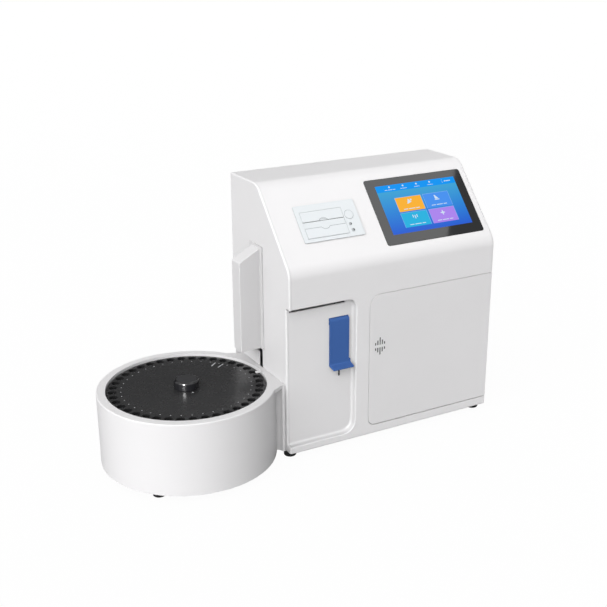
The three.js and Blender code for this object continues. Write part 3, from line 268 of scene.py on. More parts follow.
def grain(tree, shader, scale, height, stretch=(1, 1, 1)):
    noise = noise_on_piece(tree, scale, detail=5.0, stretch=stretch)
    bump = tree.nodes.new("ShaderNodeBump")
    bump.inputs["Strength"].default_value = BUMP_STRENGTH
    bump.inputs["Distance"].default_value = height * MM
    tree.links.new(noise.outputs["Fac"], bump.inputs["Height"])
    tree.links.new(bump.outputs["Normal"], shader.inputs["Normal"])


def moulded(name, colour, roughness, grain_size=0.5, grain_height=0.03, mottle=0.02, specular=0.5):
    """Moulded plastic: faint tone variation, uneven gloss and a fine pebbled skin."""
    material, tree, shader = new_material(name)
    shader.inputs["Specular IOR Level"].default_value = specular
    vary_colour(tree, shader, colour, mottle, 14)
    vary_roughness(tree, shader, roughness, 0.05, 40)
    grain(tree, shader, 1 / (grain_size * MM), grain_height)
    return material


def polished(name, colour, roughness, waviness, coat=0.0):
    """Smooth acrylic or glass: a faint waviness in place of grain, and faint handling marks."""
    material, tree, shader = new_material(name)
    vary_colour(tree, shader, colour, 0.12, 9)
    vary_roughness(tree, shader, roughness, 0.03, 60)
    shader.inputs["Coat Weight"].default_value = coat
    shader.inputs["Coat Roughness"].default_value = 0.06
    grain(tree, shader, 1 / (4 * MM), waviness)
    return material


def metal(name, colour, roughness, stretch=(1, 1, 60)):
    """Turned or drawn steel with a brushed direction."""
    material, tree, shader = new_material(name)
    shader.inputs["Metallic"].default_value = 1.0
    vary_colour(tree, shader, colour, 0.08, 30)
    vary_roughness(tree, shader, roughness, 0.08, 300, stretch)
    grain(tree, shader, 900, 0.004, stretch)
    return material


def soft_rubber(name, colour):
    material, tree, shader = new_material(name)
    vary_colour(tree, shader, colour, 0.25, 60)
    vary_roughness(tree, shader, 0.82, 0.06, 90)
    grain(tree, shader, 1 / (0.4 * MM), 0.05)
    return material


def under_glass(name, base, strength):
    """A patch of the display that shines through its glass."""
    material, tree, shader = new_material(name)
    shader.inputs["Base Color"].default_value = (*base, 1)
    shader.inputs["Emission Strength"].default_value = strength
    shader.inputs["Specular IOR Level"].default_value = SCREEN["specular"]
    vary_roughness(tree, shader, SCREEN["roughness"], 0.02, 80)
    return material, tree, shader


def lit(name, colour, strength=SCREEN["strength"]):
    """A patch of the display in one lit colour."""
    base = [level * SCREEN["base_share"] for level in colour]
    material, tree, shader = under_glass(name, base, strength)
    shader.inputs["Emission Color"].default_value = (*colour, 1)
    return material


WHITE = moulded("satin white housing plastic", srgb(241, 240, 241), 0.42, mottle=0.012)
# Painted shade: the tower is painted a greyer white than the housing, to stand for the shade that falls on
# it over the dark tray
TOWER_SHADE_WHITE = moulded("satin white tower plastic greyed as painted shade", srgb(231, 230, 231), 0.42, mottle=0.012)
DOOR_WHITE = moulded("satin white door plastic", srgb(238, 237, 238), 0.4, mottle=0.012)
LINER_GREY = moulded("dark grey bay plastic", srgb(96, 98, 102), 0.5, grain_size=0.8)
PRINTER_PALE = moulded("pale blue grey printer plastic", srgb(229, 234, 237), 0.36, mottle=0.02)
FLAP_BLUE = moulded("mid blue flap plastic", srgb(68, 106, 174), 0.45, mottle=0.08, specular=0.15)
DARK = moulded("dark grey plastic", srgb(58, 60, 63), 0.5, mottle=0.1)
MID_GREY = moulded("mid grey plastic", srgb(142, 145, 150), 0.48, mottle=0.06)
BLACK_FITTING = moulded("black fitting plastic", srgb(26, 27, 29), 0.35, mottle=0.15)
IVORY = moulded("ivory electrode plastic", srgb(222, 214, 198), 0.35, mottle=0.05)
PACK_PALE = moulded("pale reagent pack plastic", srgb(219, 225, 232), 0.34, mottle=0.04)
TRAY_BLACK = polished("satin black tray", srgb(43, 43, 44), 0.27, waviness=0.001)
KNOB_BLACK = polished("polished black knob", srgb(4, 4, 5), 0.1, waviness=0.0005)
# Painted reflection: the knob's top has almost no gloss and is painted a grey, lighter than its near-black
# side, in place of the dull reflection on its top
KNOB_TOP_PAINTED_REFLECTION = moulded("matt knob top with painted reflection", srgb(37, 37, 38), 0.5, grain_height=0.01, mottle=0.1, specular=0.02)
BEZEL = polished("dark grey bezel glass", srgb(44, 45, 46), 0.05, waviness=0.003, coat=0.3)
RUBBER = soft_rubber("black foot rubber", srgb(24, 24, 25))
STEEL = metal("plain steel", srgb(196, 199, 203), 0.3)
PLATE_STEEL = metal("zinc plated sheet", srgb(176, 180, 184), 0.42, (40, 1, 1))
BOARD_GREEN = moulded("green circuit board", srgb(28, 104, 60), 0.45, grain_size=2, mottle=0.2)
PAPER = moulded("thermal paper", srgb(245, 244, 238), 0.8, grain_size=0.3, mottle=0.03)
SILICONE = moulded("milky silicone tube", srgb(226, 222, 212), 0.3, mottle=0.06)
MARK_WHITE = moulded("pale printed mark", srgb(205, 206, 209), 0.5, mottle=0.03)
PRINT_DARK = moulded("dark printed mark", srgb(34, 36, 42), 0.5, mottle=0.1)
# Painted shade: the grey of lines that stand for the shade in the printer's parting gaps
GAP_SHADE_GREY = moulded("grey painted gap shade", srgb(158, 164, 169), 0.5, mottle=0.05)


# Camera, as fitted to the photograph: its lens in millimetres and its roll in degrees
CAMERA_AT = HOUSING + Vector((-648.7, -1229.7, 752.1)) * MM
CAMERA = {"forward": (0.45171, 0.82528, -0.33893), "roll": -0.317, "sensor": 36, "lens": 59.43}

# Suns: the side that each shines from, the share of full light that it gives, its spread in degrees
KEY_SIDE = (-0.7263, -0.4717, 0.5)
SUNS = {
    "key softbox": (KEY_SIDE, 0.75, 70),
    "front fill": ((-0.3, -1.0, 0.3), 0.1, 60),
    "rear fill": ((0.7, 0.9, 0.2), 0.24, 60),
}
# Light from all round, away from the key's side and towards it
GLOW = {"away": 0.0, "towards": 0.6}

# Cards that only reflections see, in metres. The softbox ends at a line that crosses the glass
# between two points of the slope, and lies on the side of a third.
FLAGS = {"left": -1.6, "right": 2.6, "front": -0.6, "back": 1.9, "low": -0.05, "high": 1.6, "light": 0.1}
SOFTBOX = {"reach": 1.1, "overhang": 0.5, "depth": 0.8, "light": 1.9}
SHADE = {"depth": 0.4, "light": 0.2}
GLINT_EDGE = ((360.5, 132.6), (294.9, 19.2))
GLINT_SIDE = (200.0, 40.0)

# The strip lamp by the knob: degrees to the left of the front, metres and watts
STRIP = {"left_of_front": 45.0, "away": 1.0, "width": 0.26, "tall": 1.6, "power": 135.0}

# The floor: its size in metres, its own grey, and the glow that the camera sees most of
FLOOR = {"size": 80, "grey": 0.3, "roughness": 0.9, "glow": 1.075, "glow_share": 0.9}


def look_from():
    camera = bpy.data.cameras.new("photo camera")
    camera.sensor_width = CAMERA["sensor"]
    camera.lens = CAMERA["lens"]
    seat = bpy.data.objects.new("photo camera", camera)
    bpy.context.collection.objects.link(seat)
    seat.location = CAMERA_AT
    level = Vector(CAMERA["forward"]).to_track_quat("-Z", "Y").to_matrix().to_4x4()
    turn = level @ Matrix.Rotation(math.radians(CAMERA["roll"]), 4, "Z")
    seat.rotation_euler = turn.to_euler()
    bpy.context.scene.camera = seat


def sun(name, towards, share, spread):
    """A soft lamp that gives a face square to it this share of full light."""
    lamp = bpy.data.lights.new(name, "SUN")
    lamp.energy = math.pi * share
    lamp.angle = math.radians(spread)
    seat = bpy.data.objects.new(name, lamp)
    seat.rotation_euler = Vector(towards).to_track_quat("Z", "Y").to_euler()
    bpy.context.collection.objects.link(seat)


def card(name, corners, strength):
    """A studio card that only reflections see: a black flag, or a lit softbox."""
    mesh = bpy.data.meshes.new(name)
    mesh.from_pydata([tuple(corner) for corner in corners], [], [tuple(range(len(corners)))])
    piece = bpy.data.objects.new(name, mesh)
    bpy.context.collection.objects.link(piece)
    material, tree, shader = new_material(name)
    glow = add(tree, "ShaderNodeEmission", Color=(1, 1, 1, 1), Strength=strength)
    tree.links.new(glow.outputs["Emission"], tree.nodes["Material Output"].inputs["Surface"])
    tree.nodes.remove(shader)
    paint(piece, material)
    piece.visible_camera = False
    piece.visible_diffuse = False
    piece.visible_transmission = False
    piece.visible_shadow = False


def mirrored_on_slope(across, up):
    """Where the camera's ray goes on from a point of the display glass."""
    point = SLOPE_TO_FRAME @ Vector((across * MM, up * MM, GLASS_FACE * MM))
    facing = (SLOPE_TO_FRAME.to_3x3() @ Vector((0, 0, 1))).normalized()
    ray = (point - CAMERA_AT).normalized()
    return point, ray - 2 * ray.dot(facing) * facing


def hang_cards():
    """Dark flags behind and at the right, and a softbox whose edge crosses the glass aslant."""
    low, high = FLAGS["low"], FLAGS["high"]
    left, middle = (FLAGS["left"], FLAGS["back"]), (FLAGS["right"], FLAGS["back"])
    right = (FLAGS["right"], FLAGS["front"])
    for name, start, end in (("dark flag behind", left, middle), ("dark flag right", middle, right)):
        card(name, [(*start, low), (*end, low), (*end, high), (*start, high)], FLAGS["light"])
    mirrored = []
    for across, up in (*GLINT_EDGE, GLINT_SIDE):
        point, onward = mirrored_on_slope(across, up)
        mirrored.append(point + onward * SOFTBOX["reach"])
    far, near, side = mirrored
    along = (far - near).normalized()
    aside = side - near
    aside = (aside - along * aside.dot(along)).normalized()
    near, far = near - along * SOFTBOX["overhang"], far + along * SOFTBOX["overhang"]
    for name, step, strength in (("softbox over the display", aside * SOFTBOX["depth"], SOFTBOX["light"]),
                                 ("shade beside the softbox", -aside * SHADE["depth"], SHADE["light"])):
        card(name, [near, far, far + step, near + step], strength)


def hang_strip(knob):
    """A tall narrow lamp, kept to the knob, whose streak shows on its round side."""
    lamp = bpy.data.lights.new("strip lamp", "AREA")
    lamp.shape = "RECTANGLE"
    lamp.size = STRIP["width"]
    lamp.size_y = STRIP["tall"]
    lamp.energy = STRIP["power"]
    seat = bpy.data.objects.new("strip lamp", lamp)
    bpy.context.collection.objects.link(seat)
    turn = math.radians(STRIP["left_of_front"])
    towards = Vector((-math.sin(turn), -math.cos(turn), 0))
    seat.location = TRAY_CENTRE + towards * STRIP["away"]
    seat.rotation_euler = towards.to_track_quat("Z", "Y").to_euler()
    knob_alone = bpy.data.collections.new("lit by the strip lamp")
    knob_alone.objects.link(knob)
    seat.light_linking.receiver_collection = knob_alone
    seat.light_linking.blocker_collection = knob_alone


def studio_glow(tree):
    """Soft light from all round that is brightest on the key's side."""
    place = tree.nodes.new("ShaderNodeTexCoord")
    aim = tree.nodes.new("ShaderNodeVectorMath")
    aim.operation = "DOT_PRODUCT"
    aim.inputs[1].default_value = Vector(KEY_SIDE).normalized()
    strength = tree.nodes.new("ShaderNodeMapRange")
    strength.inputs["From Min"].default_value = -1
    strength.inputs["To Min"].default_value = GLOW["away"]
    strength.inputs["To Max"].default_value = GLOW["towards"]
    tree.links.new(place.outputs["Generated"], aim.inputs[0])
    tree.links.new(aim.outputs["Value"], strength.inputs["Value"])
    glow = add(tree, "ShaderNodeBackground", Color=(1, 1, 1, 1))
    tree.links.new(strength.outputs["Result"], glow.inputs["Strength"])
    return glow


def light_studio():
    """The suns, and a world that the camera and reflections see white and that lights softly."""
    for name, (towards, share, spread) in SUNS.items():
        sun(name, towards, share, spread)
    world = bpy.data.worlds.new("white studio")
    bpy.context.scene.world = world
    world.use_nodes = True
    tree = world.node_tree
    tree.nodes.clear()
    out = tree.nodes.new("ShaderNodeOutputWorld")
    path = tree.nodes.new("ShaderNodeLightPath")
    glossy = tree.nodes.new("ShaderNodeMath")
    glossy.operation = "MAXIMUM"
    seen = tree.nodes.new("ShaderNodeMath")
    seen.operation = "MAXIMUM"
    tree.links.new(path.outputs["Is Camera Ray"], glossy.inputs[0])
    tree.links.new(path.outputs["Is Glossy Ray"], glossy.inputs[1])
    tree.links.new(glossy.outputs["Value"], seen.inputs[0])
    tree.links.new(path.outputs["Is Transmission Ray"], seen.inputs[1])
    ambient = studio_glow(tree)
    backdrop = add(tree, "ShaderNodeBackground", Color=(1, 1, 1, 1), Strength=1.0)
    mix = tree.nodes.new("ShaderNodeMixShader")
    tree.links.new(seen.outputs["Value"], mix.inputs["Fac"])
    tree.links.new(ambient.outputs["Background"], mix.inputs[1])
    tree.links.new(backdrop.outputs["Background"], mix.inputs[2])
    tree.links.new(mix.outputs["Shader"], out.inputs["Surface"])
    bpy.context.scene.view_settings.view_transform = "Standard"


def lay_floor():
    """A floor that the camera sees nearly white and that takes a soft shadow."""
    let_go()
    bpy.ops.mesh.primitive_plane_add(size=FLOOR["size"], location=(0, 0, 0))
    floor = bpy.context.object
    floor.name = "studio_floor"
    material, tree, shader = new_material("pale studio floor")
    shader.inputs["Base Color"].default_value = (*[FLOOR["grey"]] * 3, 1)
    shader.inputs["Roughness"].default_value = FLOOR["roughness"]
    path = tree.nodes.new("ShaderNodeLightPath")
    glow = add(tree, "ShaderNodeEmission", Color=(1, 1, 1, 1), Strength=FLOOR["glow"])
    mix = tree.nodes.new("ShaderNodeMixShader")
    share = tree.nodes.new("ShaderNodeMath")
    share.operation = "MULTIPLY"
    share.inputs[1].default_value = FLOOR["glow_share"]
    tree.links.new(path.outputs["Is Camera Ray"], share.inputs[0])
    tree.links.new(share.outputs["Value"], mix.inputs["Fac"])
    tree.links.new(shader.outputs["BSDF"], mix.inputs[1])
    tree.links.new(glow.outputs["Emission"], mix.inputs[2])
    tree.links.new(mix.outputs["Shader"], tree.nodes["Material Output"].inputs["Surface"])
    paint(floor, material)


look_from()
light_studio()
hang_cards()
lay_floor()


# Flat shapes, whose outlines and thicknesses are in millimetres
TRAY_PRINT, SLOPE_PRINT, SCREEN_LAYER = 0.06, 0.04, 0.05


def flat_shape(points, thick):
    """A thin plate on an outline in the plane z = 0."""
    mesh = bpy.data.meshes.new("flat shape")
    mesh.from_pydata([(x * MM, y * MM, 0) for x, y in points], [], [tuple(range(len(points)))])
    piece = bpy.data.objects.new("flat shape", mesh)
    bpy.context.collection.objects.link(piece)
    take(piece)
    bpy.ops.object.mode_set(mode="EDIT")
    bpy.ops.mesh.select_all(action="SELECT")
    bpy.ops.mesh.extrude_region_move(TRANSFORM_OT_translate={"value": (0, 0, thick * MM)})
    bpy.ops.mesh.select_all(action="SELECT")
    bpy.ops.mesh.normals_make_consistent(inside=False)
    bpy.ops.object.mode_set(mode="OBJECT")
    return piece


FULL_TURN = 2 * math.pi


def disc_points(x, y, radius, count, start=0.0, sweep=FULL_TURN):
    """Points round a disc, or along an arc of it with both of its ends."""
    steps = count if sweep >= FULL_TURN else count + 1
    turns = [start + sweep * i / count for i in range(steps)]
    return [(x + radius * math.cos(turn), y + radius * math.sin(turn)) for turn in turns]


def half_ring_points(x, y, outer, inner, count, start):
    """The outline of half a ring."""
    half_turn = math.pi
    return (disc_points(x, y, outer, count, start, half_turn)
            + disc_points(x, y, inner, count, start, half_turn)[::-1])


def box_points(left, low, right, high, radius=0.0, steps=4):
    """A box, with round corners if it has a radius."""
    if not radius:
        return [(left, low), (right, low), (right, high), (left, high)]
    quarter = math.pi / 2
    corners = [(left + radius, low + radius, 2), (right - radius, low + radius, 3),
               (right - radius, high - radius, 0), (left + radius, high - radius, 1)]
    return [p for x, y, turn in corners for p in disc_points(x, y, radius, steps, turn * quarter, quarter)]


def place_on(piece, matrix):
    piece.matrix_world = matrix @ piece.matrix_world
    settle(piece)
    return piece


def on_slope(points, height, thick):
    piece = flat_shape(points, thick)
    return place_on(piece, SLOPE_TO_FRAME @ Matrix.Translation((0, 0, height * MM)))


# Housing
# The slots of the door's grille, which stand in two rows either side of a bridge. A dark sheet of painted
# shade, which darkens the slots as shade inside them would, lies this far behind the door's face, and each
# slot's length is a share of the shortest.
GRILLE_SHADE_SHEET = {
    "x": 162.2, "z": 151.0, "pitch": 4.15, "half": 1.13, "bridge": 4.5, "shortest": 4.5,
    "shares": (1, 1.75, 2.75, 1.75, 1), "back": 1.0, "thick": 0.3,
}


def dress_housing():
    finished("front_cover", WHITE, edge=0.5)
    finished("left_side_cover", WHITE, edge=0.3)
    finished("right_side_cover", WHITE, edge=0.3)
    finished("rear_panel", WHITE, edge=0.15, segments=1)
    finished("door_panel", DOOR_WHITE, edge=0.3)
    finished("tower_cover", TOWER_SHADE_WHITE)
    finished("bay_liner", LINER_GREY)
    repaint("base_plate", PLATE_STEEL)
    for node in frame["nodes"]:
        if node.startswith(("foot_", "drum_foot_")):
            finished(node, RUBBER, edge=0.3)


def shade_grille_slots():
    """Painted shade: dark sheets set behind the slots of the door's grille, in place of the shade inside
    them.
    """
    behind_face = Matrix.Translation(HOUSING + Vector((0, GRILLE_SHADE_SHEET["back"] * MM, 0)))
    upright = behind_face @ Matrix.Rotation(math.pi / 2, 4, "X")
    level = GRILLE_SHADE_SHEET["z"]
    from_middle = len(GRILLE_SHADE_SHEET["shares"]) // 2
    pieces = []
    for i, share in enumerate(GRILLE_SHADE_SHEET["shares"]):
        middle = GRILLE_SHADE_SHEET["x"] + (i - from_middle) * GRILLE_SHADE_SHEET["pitch"]
        near = GRILLE_SHADE_SHEET["bridge"] / 2
        far = near + GRILLE_SHADE_SHEET["shortest"] * share
        for low, high in ((level + near, level + far), (level - far, level - near)):
            outline = box_points(middle - GRILLE_SHADE_SHEET["half"], low, middle + GRILLE_SHADE_SHEET["half"], high)
            pieces.append(place_on(flat_shape(outline, GRILLE_SHADE_SHEET["thick"]), upright))
    shade_sheet = join(pieces, "door_grille_painted_shade")
    paint(shade_sheet, DARK)
    keep(shade_sheet, "door")


# Drum and tray
# Printed marks on the disc, in millimetres and degrees round its middle
DOTS = {"count": 40, "ring": 100.0, "radius": 0.85, "points": 10}
STROKES = {"angles": (31.6, 39.8), "inner": 85.0, "outer": 100.0, "half": 0.75}
KNOB_ARROW = {"half": 2.0, "low": -25.0, "high": -21.8}
# How near to the knob's highest level a face belongs to its matt top, which is painted grey in place of its
# reflection, in millimetres
KNOB_TOP_BAND = 0.1


def dress_drum():
    finished("drum_shell", WHITE)
    repaint("drum_base", MID_GREY)
    repaint("turntable_motor", DARK)
    repaint("turntable_spindle", STEEL)
    finished("tray_disc", TRAY_BLACK)
    finished("tray_shelf", MID_GREY, edge=0.3)
    knob = finished("tray_knob", KNOB_BLACK, edge=0.3, segments=3)
    # The knob's top faces take the matt grey of painted reflection
    knob.data.materials.append(KNOB_TOP_PAINTED_REFLECTION)
    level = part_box("tray_knob")[1].z - KNOB_TOP_BAND * MM
    for face in knob.data.polygons:
        face.material_index = int(face.center.z > level)
    hang_strip(knob)


def mark_tray():
    """Pale place dots, the start strokes and the arrow at the knob, printed on the disc."""
    marks = []
    on_disc = Matrix.Translation(TRAY_CENTRE)
    for x, y in disc_points(0, 0, DOTS["ring"], DOTS["count"]):
        dot = flat_shape(disc_points(x, y, DOTS["radius"], DOTS["points"]), TRAY_PRINT)
        marks.append(place_on(dot, on_disc))
    half = STROKES["half"]
    for angle in STROKES["angles"]:
        stroke = flat_shape(box_points(STROKES["inner"], -half, STROKES["outer"], half), TRAY_PRINT)
        marks.append(place_on(stroke, on_disc @ Matrix.Rotation(math.radians(angle), 4, "Z")))
    half, low = KNOB_ARROW["half"], KNOB_ARROW["low"]
    arrow = flat_shape([(-half, low), (half, low), (0, KNOB_ARROW["high"])], TRAY_PRINT)
    marks.append(place_on(arrow, on_disc))
    prints = join(marks, "tray_printed_marks")
    paint(prints, MARK_WHITE)
    keep(prints, "turntable")


# Sampling flap, probe and sampler
def dress_sampling():
    finished("sampling_flap", FLAP_BLUE, edge=0.35)
    finished("sampling_probe", BLACK_FITTING, edge=0.1, segments=1)
    repaint("flap_pin", STEEL)
    finished("sampler_arm", DARK)
    finished("sample_needle", STEEL, edge=0.1, segments=1)
    for node in ("guide_rod_front", "guide_rod_rear", "lead_screw", "door_pin_top", "door_pin_bottom"):
        repaint(node, STEEL)
    repaint("sampler_frame", PLATE_STEEL)
    repaint("lift_motor", DARK)
    repaint("door_catch", DARK)


# Display
# The artwork's places on the slope, in millimetres. Tiles stand in two columns and two rows.
UI = {
    "bar_low": 110.3, "tile_width": 50.2, "tile_high": 25.8, "tile_radius": 0.6, "edge": 0.6,
    "columns": (224.8, 278.4), "rows": (72.0, 44.1),
}
# Text in a tile, and the share of the tile's height at which its icon stands
TILE_TEXT = {"width": 30, "above_edge": 3.4, "high": 1.2}
ICON_SHARE = 0.64
# The top bar's keys from the lit area's left edge: a round icon over a line of text
BAR_KEYS = {
    "first": 25.5, "pitch": 26, "icon": (118, 1.6), "text_low": 112.8, "text_high": 0.9,
    "widths": (20, 12, 10, 10),
}
# At its right end, three small dots over one another and a line of text
BAR_STATE = {
    "dots": 128, "dots_low": 113.6, "dots_pitch": 2.3, "dot": 0.5,
    "text": 132, "text_low": 115, "text_width": 12, "text_high": 1.6,
}
# A line of text as three bars, in shares of its width
WORDS, WORD_GAP = (0.26, 0.4, 0.22), 0.06
# How far each kind of layer lies over the glass
LAYER_STEP = 0.05

UI_BLUE_TOP = srgb(4, 148, 243)
UI_COLOURS = {
    "orange": srgb(250, 178, 52), "blue": srgb(72, 146, 240), "cyan": srgb(40, 178, 224),
    "purple": srgb(172, 134, 238), "white": srgb(215, 234, 252), "edge": srgb(132, 184, 240),
}
# The background's colours from the lit area's lower edge to its upper one
UI_FADE = {"low": srgb(42, 92, 210), "middle": srgb(48, 134, 216), "high": srgb(66, 172, 212)}
FADE_MIDDLE = 0.45
UI_BASE = (0.002, 0.006, 0.016)


def screen_gradient():
    """The display's own background: royal blue at the lower edge to teal at the top."""
    material, tree, shader = under_glass("lit display background", UI_BASE, SCREEN["strength"])
    place = tree.nodes.new("ShaderNodeTexCoord")
    parts = tree.nodes.new("ShaderNodeSeparateXYZ")
    rise = tree.nodes.new("ShaderNodeMapRange")
    for edge, end in (("low", "From Min"), ("high", "From Max")):
        rise.inputs[end].default_value = (SLOPE_TO_FRAME @ Vector((0, ACTIVE[edge] * MM, 0))).z
    ramp = tree.nodes.new("ShaderNodeValToRGB")
    stops = ramp.color_ramp.elements
    stops[0].color = (*UI_FADE["low"], 1)
    stops[1].color = (*UI_FADE["high"], 1)
    stops.new(FADE_MIDDLE).color = (*UI_FADE["middle"], 1)
    tree.links.new(place.outputs["Object"], parts.inputs["Vector"])
    tree.links.new(parts.outputs["Z"], rise.inputs["Value"])
    tree.links.new(rise.outputs["Result"], ramp.inputs["Fac"])
    tree.links.new(ramp.outputs["Color"], shader.inputs["Emission Color"])
    return material


def text_bars(left, base, width, high):
    """A short row of plain bars that stands for a line of small text."""
    bars = []
    x = left
    for share in WORDS:
        bars.append(box_points(x, base, x + width * share, base + high))
        x += width * (share + WORD_GAP)
    return bars


def tile_icon(tile, x, y):
    """A plain icon for each tile, round the point x, y."""
    def bar(left, low, right, high):
        return box_points(x + left, y + low, x + right, y + high)

    if tile == (0, 0):
        return [[(x - 5, y - 4), (x + 4, y - 1), (x - 1, y + 5)], disc_points(x + 4, y + 3, 1.6, 12)]
    if tile == (1, 0):
        beaker = [(x - 4, y + 5), (x - 2.4, y + 5), (x + 3, y - 2), (x - 4, y - 2)]
        return [bar(-5, -4, 4, -2.6), beaker]
    if tile == (0, 1):
        return [bar(-4.5, -1, -3, 4), bar(-0.8, -3, 0.8, 3), bar(3, -1, 4.5, 4)]
    return [bar(-0.8, -4, 0.8, 4.5), bar(-4.5, -0.6, 4.5, 0.9), disc_points(x, y + 0.2, 2.2, 14)]


def screen_icons():
    """Plain icons and lines of text for the four tiles and the top bar."""
    shapes = []
    for column, left in enumerate(UI["columns"]):
        for row, low in enumerate(UI["rows"]):
            middle = left + UI["tile_width"] / 2
            width = TILE_TEXT["width"]
            shapes += text_bars(middle - width / 2, low + TILE_TEXT["above_edge"], width, TILE_TEXT["high"])
            shapes += tile_icon((column, row), middle, low + UI["tile_high"] * ICON_SHARE)
    level, radius = BAR_KEYS["icon"]
    for i, width in enumerate(BAR_KEYS["widths"]):
        x = ACTIVE["left"] + BAR_KEYS["first"] + i * BAR_KEYS["pitch"]
        shapes.append(disc_points(x, level, radius, 12))
        shapes += text_bars(x - width / 2, BAR_KEYS["text_low"], width, BAR_KEYS["text_high"])
    state = BAR_STATE
    for i in range(3):
        y = state["dots_low"] + i * state["dots_pitch"]
        shapes.append(disc_points(ACTIVE["left"] + state["dots"], y, state["dot"], 8))
    left = ACTIVE["left"] + state["text"]
    shapes += text_bars(left, state["text_low"], state["text_width"], state["text_high"])
    return shapes


def tile_edges():
    """Thin pale lines round the tiles."""
    edges = []
    thin = UI["edge"]
    for left in UI["columns"]:
        for low in UI["rows"]:
            right, high = left + UI["tile_width"], low + UI["tile_high"]
            edges.append(box_points(left, high - thin, right, high))
            edges.append(box_points(right - thin, low, right, high - thin))
            edges.append(box_points(left, low, left + thin, high - thin))
    return edges


def lay_on_glass(name, outlines, material, step):
    """One layer of the display's artwork, this many steps over the glass."""
    shapes = [on_slope(points, GLASS_FACE + step * LAYER_STEP, SCREEN_LAYER) for points in outlines]
    layer = join(shapes, name)
    paint(layer, material)
    keep(layer, "housing")


def dress_display():
    finished("display_glass", BEZEL, edge=0.35, segments=3)
    repaint("display_module", DARK)
    left, right, low, high = ACTIVE["left"], ACTIVE["right"], ACTIVE["low"], ACTIVE["high"]
    lay_on_glass("display_background", [box_points(left, low, right, high)], screen_gradient(), 0)
    bar = [box_points(left, UI["bar_low"], right, high)]
    lay_on_glass("display_top_bar", bar, lit("lit top bar", UI_BLUE_TOP), 1)
    for column, row, colour in ((0, 0, "orange"), (1, 0, "blue"), (0, 1, "cyan"), (1, 1, "purple")):
        left, low = UI["columns"][column], UI["rows"][row]
        tile = [box_points(left, low, left + UI["tile_width"], low + UI["tile_high"], UI["tile_radius"])]
        lay_on_glass(f"display_tile_{colour}", tile, lit(f"lit {colour} tile", UI_COLOURS[colour]), 1)
    lay_on_glass("display_tile_edges", tile_edges(), lit("lit tile edges", UI_COLOURS["edge"]), 2)
    icons = lit("lit white icons", UI_COLOURS["white"], SCREEN["icon_strength"])
    lay_on_glass("display_icons", screen_icons(), icons, 2)


# Printer
# Painted shade: grey lines on its face that stand for the shade in its parting gaps, in millimetres on the
# slope:
# the lid's strip line and the line over it, both bowed by the thumb notch, and the ring round the release
# button
PRINTER_GAP_SHADES = {
    "left": 52.0, "right": 122.8, "low": 67.2, "high": 78.5, "notch": (87.4, 72.8, 9.4),
    "half": 0.35, "ring": 7.9, "ring_width": 0.5,
}
# The sign on a key: a wedge round the key's middle, and half a ring to its left
KEY_WEDGE = ((-0.2, -2.0), (2.2, -1.4), (2.1, 1.6), (-0.2, 2.0))
KEY_ARC = {"aside": -0.3, "outer": 2.1, "inner": 1.5}


def top_on_slope(node):
    """Middle and height of a piece's outer face, in the slope's millimetres."""
    piece = frame["nodes"][node]
    to_slope = SLOPE_TO_FRAME.inverted() @ piece.matrix_world
    points = [to_slope @ vertex.co / MM for vertex in piece.data.vertices]
    across = [point.x for point in points]
    up = [point.y for point in points]
    return (min(across) + max(across)) / 2, (min(up) + max(up)) / 2, max(point.z for point in points)


def sign_key(node):
    """A plain dark sign printed on a round key."""
    across, up, height = top_on_slope(node)
    wedge = [(across + x, up + y) for x, y in KEY_WEDGE]
    outer, inner = KEY_ARC["outer"], KEY_ARC["inner"]
    arc = half_ring_points(across + KEY_ARC["aside"], up, outer, inner, 10, math.pi / 2)
    sign = join([on_slope(points, height, SLOPE_PRINT) for points in (wedge, arc)], f"{node}_sign")
    paint(sign, PRINT_DARK)
    keep(sign, body_of(node))


def line_points(path):
    """A narrow closed outline along a path of points."""
    half = PRINTER_GAP_SHADES["half"]
    sides = ([], [])
    for i, point in enumerate(path):
        ahead = Vector(path[min(i + 1, len(path) - 1)]) - Vector(path[max(i - 1, 0)])
        aside = Vector((-ahead.y, ahead.x)).normalized() * half
        sides[0].append((point[0] + aside.x, point[1] + aside.y))
        sides[1].append((point[0] - aside.x, point[1] - aside.y))
    return sides[0] + sides[1][::-1]


def bulge(level, upwards):
    """The arc by which the thumb notch bows a line at this level."""
    x, up, radius = PRINTER_GAP_SHADES["notch"]
    lean = math.asin(abs(level - up) / radius)
    start = lean if upwards else math.pi + lean
    return disc_points(x, up, radius, 14, start, math.pi - 2 * lean)


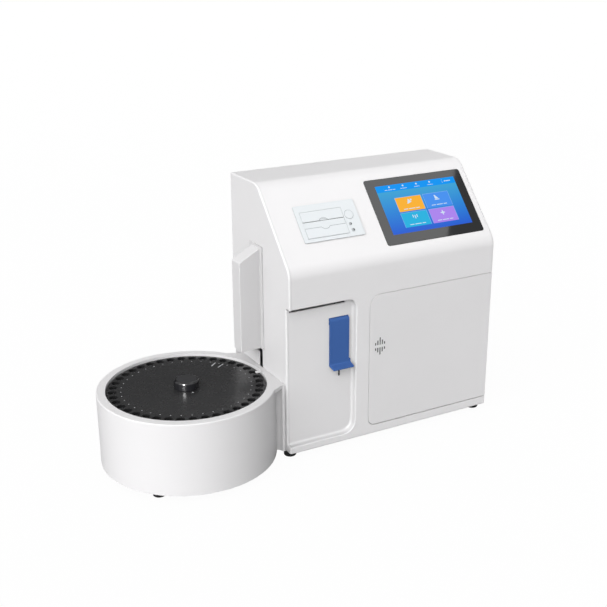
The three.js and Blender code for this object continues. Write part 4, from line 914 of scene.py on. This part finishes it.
def draw_printer_gap_shades():
    """Painted shade for the parting gaps: the line on the lid, which rides with it, and those on the frame
    round it.
    """
    lines = PRINTER_GAP_SHADES
    low = lines["low"]
    strip_line = [(lines["left"], low)] + bulge(low, False) + [(lines["right"], low)]
    strip = on_slope(line_points(strip_line), top_on_slope("printer_lid")[2], SLOPE_PRINT)
    strip.name = "printer_lid_gap_shade"
    paint(strip, GAP_SHADE_GREY)
    keep(strip, "printer_lid")
    x, up = top_on_slope("lid_release_button")[:2]
    outer, inner = lines["ring"], lines["ring"] - lines["ring_width"]
    outlines = [half_ring_points(x, up, outer, inner, 20, start) for start in (0, math.pi)]
    outlines.append(line_points(bulge(lines["high"], True)))
    height = top_on_slope("printer_frame")[2]
    marks = join([on_slope(points, height, SLOPE_PRINT) for points in outlines], "printer_frame_gap_shades")
    paint(marks, GAP_SHADE_GREY)
    keep(marks, "housing")


def dress_printer():
    finished("printer_frame", PRINTER_PALE, edge=0.2)
    finished("printer_lid", PRINTER_PALE, edge=0.2)
    finished("lid_release_button", PRINTER_PALE, segments=3)
    keys = ("feed_button", "status_lamp")
    for key in keys:
        finished(key, PRINTER_PALE, edge=0.25)
    draw_printer_gap_shades()
    for key in keys:
        sign_key(key)
    repaint("platen_roller", RUBBER)
    repaint("printer_mechanism", DARK)
    repaint("paper_roll", PAPER)


# Rear, electronics and fluid parts
def dress_inside():
    finished("power_inlet", BLACK_FITTING, edge=0.3)
    finished("power_rocker", BLACK_FITTING, edge=0.3)
    finished("data_ports", PLATE_STEEL, edge=0.2)
    repaint("main_board", BOARD_GREEN)
    repaint("power_supply", PLATE_STEEL)
    finished("pump_body", MID_GREY, edge=0.5)
    finished("pump_tube", SILICONE, edge=0)
    finished("pump_rotor", DARK, edge=0.3)
    finished("electrode_rack", DARK)
    finished("reagent_pack", PACK_PALE, edge=0.5)
    for node in sorted(frame["nodes"]):
        if node.startswith("electrode_") and node != "electrode_rack":
            finished(node, IVORY, edge=0.3)


dress_housing()
shade_grille_slots()
dress_drum()
mark_tray()
dress_sampling()
dress_display()
dress_printer()
dress_inside()
